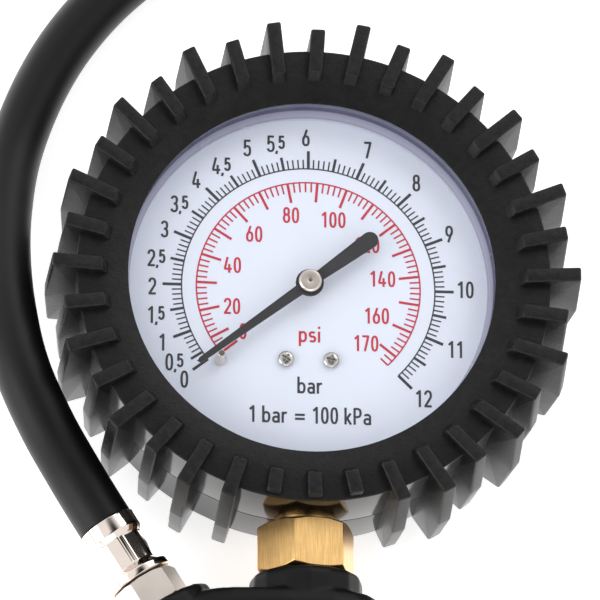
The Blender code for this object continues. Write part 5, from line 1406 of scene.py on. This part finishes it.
    def build(self) -> None:
        """Everything in the boot that can be seen, and the finishes of the movement behind the dial."""
        paint(DIAL_WHITE, "dial")
        self.print_scales()
        self.build_fixings()
        self.build_lens()
        eased("gauge_socket", BRASS, "gun", self.stem_edge)
        paint(PAINTED_STEEL, "gauge_case")
        paint(
            BRASS, "bourdon_tube", "tube_end_piece", "tip_link", "sector_gear", "movement_front_plate",
            "movement_rear_plate", "movement_pillar_left", "movement_pillar_right", "dial_post_left", "dial_post_right",
        )
        paint(
            STEEL, "hairspring", "pinion_arbor", "sector_arbor", "link_pin_upper", "link_pin_lower",
            "movement_screw_left", "movement_screw_right",
        )


@dataclass
class Pistol:
    """The cast pistol body with its trigger, valve and air inlet.

    Args:
        voxel: Size of the casting's faces.
        rounds: Rounds of relaxing them.
        spring_foot: Where the valve's spring stands on its cap.
        spring_keep: Share of the spring's length that is left at full stroke.
        trigger_edge: Width of the trigger's eased edges.
        cap_edge: Width of the valve cap's.
        nipple_edge: Width of the air inlet's.
    """

    voxel: float = 0.45
    rounds: int = 4
    spring_foot: Point = (11.54, -93.8, 15.0)
    spring_keep: float = 0.81
    trigger_edge: float = 0.4
    cap_edge: float = 0.3
    nipple_edge: float = 0.25

    def build(self) -> None:
        """The body's casting and the pieces in it."""
        cast("gun_body", CAST_BLACK, "gun", self.voxel, self.rounds)
        eased("trigger", CAST_BLACK, "trigger", self.trigger_edge)
        eased("valve_cap", BRASS, "gun", self.cap_edge)
        eased("inlet_nipple", NICKEL, "gun", self.nipple_edge)
        spring("valve_spring", "valve_slide", (1.0, 0.0, 0.0), self.spring_foot, self.spring_keep)
        paint(STEEL, "trigger_pin", "valve_stem")
        paint(SEAL_BLACK, "valve_seal")


@dataclass
class Studio:
    """The pale floor, the soft light and the camera."""

    # The camera: lean towards the pistol, turn to the left, distance from the dial's middle, pixels for one
    # millimetre there, and the dial's middle in a picture of some width.
    tilt_deg: float = 19.4
    yaw_deg: float = 5.0
    distance: float = 1150.0
    scale: float = 5.128
    dial_pixel: Span = (308.4, 288.0)
    picture: float = 600.0
    dial_height: float = 21.4
    sensor: float = 36.0
    # The tent of light and the gap in it: an ellipse's middle and half sizes, and where the light rises from it.
    tent_light: float = 1.16
    tent_colour: Point = (0.95, 0.95, 0.96)
    gap_light: float = 0.02
    gap_rise: Span = (0.45, 1.15)
    gap_middle: Span = (0.05, -0.05)
    gap_half: Span = (0.35, 0.6)
    # The floor, in metres, and its glow for each kind of ray.
    floor_half: float = 4.0
    floor_height: float = -0.0004
    floor_colour: Point = (0.8, 0.8, 0.8)
    floor_glow: tuple[tuple[str, float], ...] = (
        ("Is Camera Ray", 0.72), ("Is Glossy Ray", 1.4), ("Is Transmission Ray", 0.72),
    )
    # The lamps: place and side in metres, and power in watts.
    lamps: tuple[tuple[str, Point, float], ...] = (
        ("left_softbox", (-1.2, -0.4, 0.6), 6.5),
        ("far_right_softbox", (0.7, 1.1, 1.1), 4.5),
        ("low_front_softbox", (0.1, -1.3, 0.55), 2.0),
    )
    lamp_side: float = 0.9

    def camera(self) -> None:
        """The camera: its right, up and back directions follow from the tilt and the yaw."""
        s, c = math.sin(math.radians(self.yaw_deg)), math.cos(math.radians(self.yaw_deg))
        t, u = math.sin(math.radians(self.tilt_deg)), math.cos(math.radians(self.tilt_deg))
        right, up, back = Vector((c, 0, s)), Vector((-s * t, u, c * t)), Vector((-s * u, -t, c * u))
        aside = (self.picture / 2 - self.dial_pixel[0]) / self.scale
        above = (self.dial_pixel[1] - self.picture / 2) / self.scale
        place = Vector((0, 0, self.dial_height)) + back * self.distance + right * aside + up * above
        lens = self.sensor * self.scale * self.distance / self.picture
        data = bpy.data.cameras.new("view")
        configure(data, sensor_width=self.sensor, lens=lens, clip_start=0.05, clip_end=20.0)
        made = linked("view", data)
        made.matrix_world = Matrix.Translation(place * MM) @ Matrix((right, up, back)).transposed().to_4x4()
        bpy.context.scene.camera = made

    def lamp(self, name: str, place: Point, power: float) -> None:
        """A square lamp that faces the dial.

        Args:
            name: Its name.
            place: Where it stands, in metres.
            power: Its power in watts.
        """
        data = configure(bpy.data.lights.new(name, "AREA"), shape="SQUARE", size=self.lamp_side, energy=power)
        aim = (-Vector(place)).to_track_quat("-Z", "Y").to_euler()
        configure(linked(name, data), location=place, rotation_euler=aim)

    def world(self) -> None:
        """A light tent: white all round, but for the dark gap overhead that the camera looks in through.

        The gap is an ellipse over the directions' x and y: their distance from its middle, each over the gap's
        half width that way, sets how far the light has risen from the gap's to the tent's.
        """
        world = bpy.data.worlds.new("light_tent")
        world.use_nodes = True
        tree = world.node_tree
        shrink = (1 / self.gap_half[0], 1 / self.gap_half[1], 0.0)
        way = node(tree, "TexCoord", {}).outputs["Generated"]
        away = node(tree, "VectorMath", {0: way, 1: (*self.gap_middle, 0.0)}, operation="SUBTRACT").outputs["Vector"]
        over = node(tree, "VectorMath", {0: away, 1: shrink}, operation="MULTIPLY").outputs["Vector"]
        far = node(tree, "VectorMath", {0: over}, operation="LENGTH").outputs["Value"]
        light = remap(tree, far, self.gap_rise, (self.gap_light, self.tent_light), "SMOOTHSTEP")
        connect(tree, tree.nodes["Background"], {"Color": opaque(self.tent_colour), "Strength": light})
        bpy.context.scene.world = world

    def floor(self) -> None:
        """A wide pale floor that takes the object's shadow and looks white to the eye and in reflections."""
        mesh = bpy.data.meshes.new("floor")
        corners = self.floor_half * np.array([(-1, -1), (1, -1), (1, 1), (-1, 1)], float)
        points = np.concatenate([corners, np.full((4, 1), self.floor_height)], 1)
        mesh.from_pydata(points.tolist(), [], [(0, 1, 2, 3)])
        material = bpy.data.materials.new("pale_floor")
        material.use_nodes = True
        tree = material.node_tree
        shader = tree.nodes["Principled BSDF"]
        dull = {"Base Color": opaque(self.floor_colour), "Roughness": 0.9, "Specular IOR Level": 0.1}
        connect(tree, shader, dull)
        path = node(tree, "LightPath", {})
        total: Socket | float = 0.0
        for ray, share in self.floor_glow:
            inputs = {0: path.outputs[ray], 1: share, 2: total}
            total = node(tree, "Math", inputs, operation="MULTIPLY_ADD").outputs[0]
        glow = node(tree, "Emission", {"Strength": total}).outputs["Emission"]
        both = node(tree, "AddShader", {0: shader.outputs["BSDF"], 1: glow}).outputs["Shader"]
        connect(tree, tree.nodes["Material Output"], {"Surface": both})
        mesh.materials.append(material)
        made = linked("floor", mesh)

    def build(self) -> None:
        """Camera, floor, world and lamps."""
        bpy.context.scene.view_settings.view_transform = "Standard"
        self.camera()
        self.floor()
        self.world()
        for name, place, power in self.lamps:
            self.lamp(name, place, power)


def main() -> None:
    """Builds the studio, the hose and each sub-assembly in order."""
    logging.basicConfig(level=logging.INFO, format="%(message)s")
    Studio().build()
    AirHose().build(Chuck().build())
    Boot().build()
    Gauge().build()
    Pistol().build()


if __name__ == "__main__":
    main()
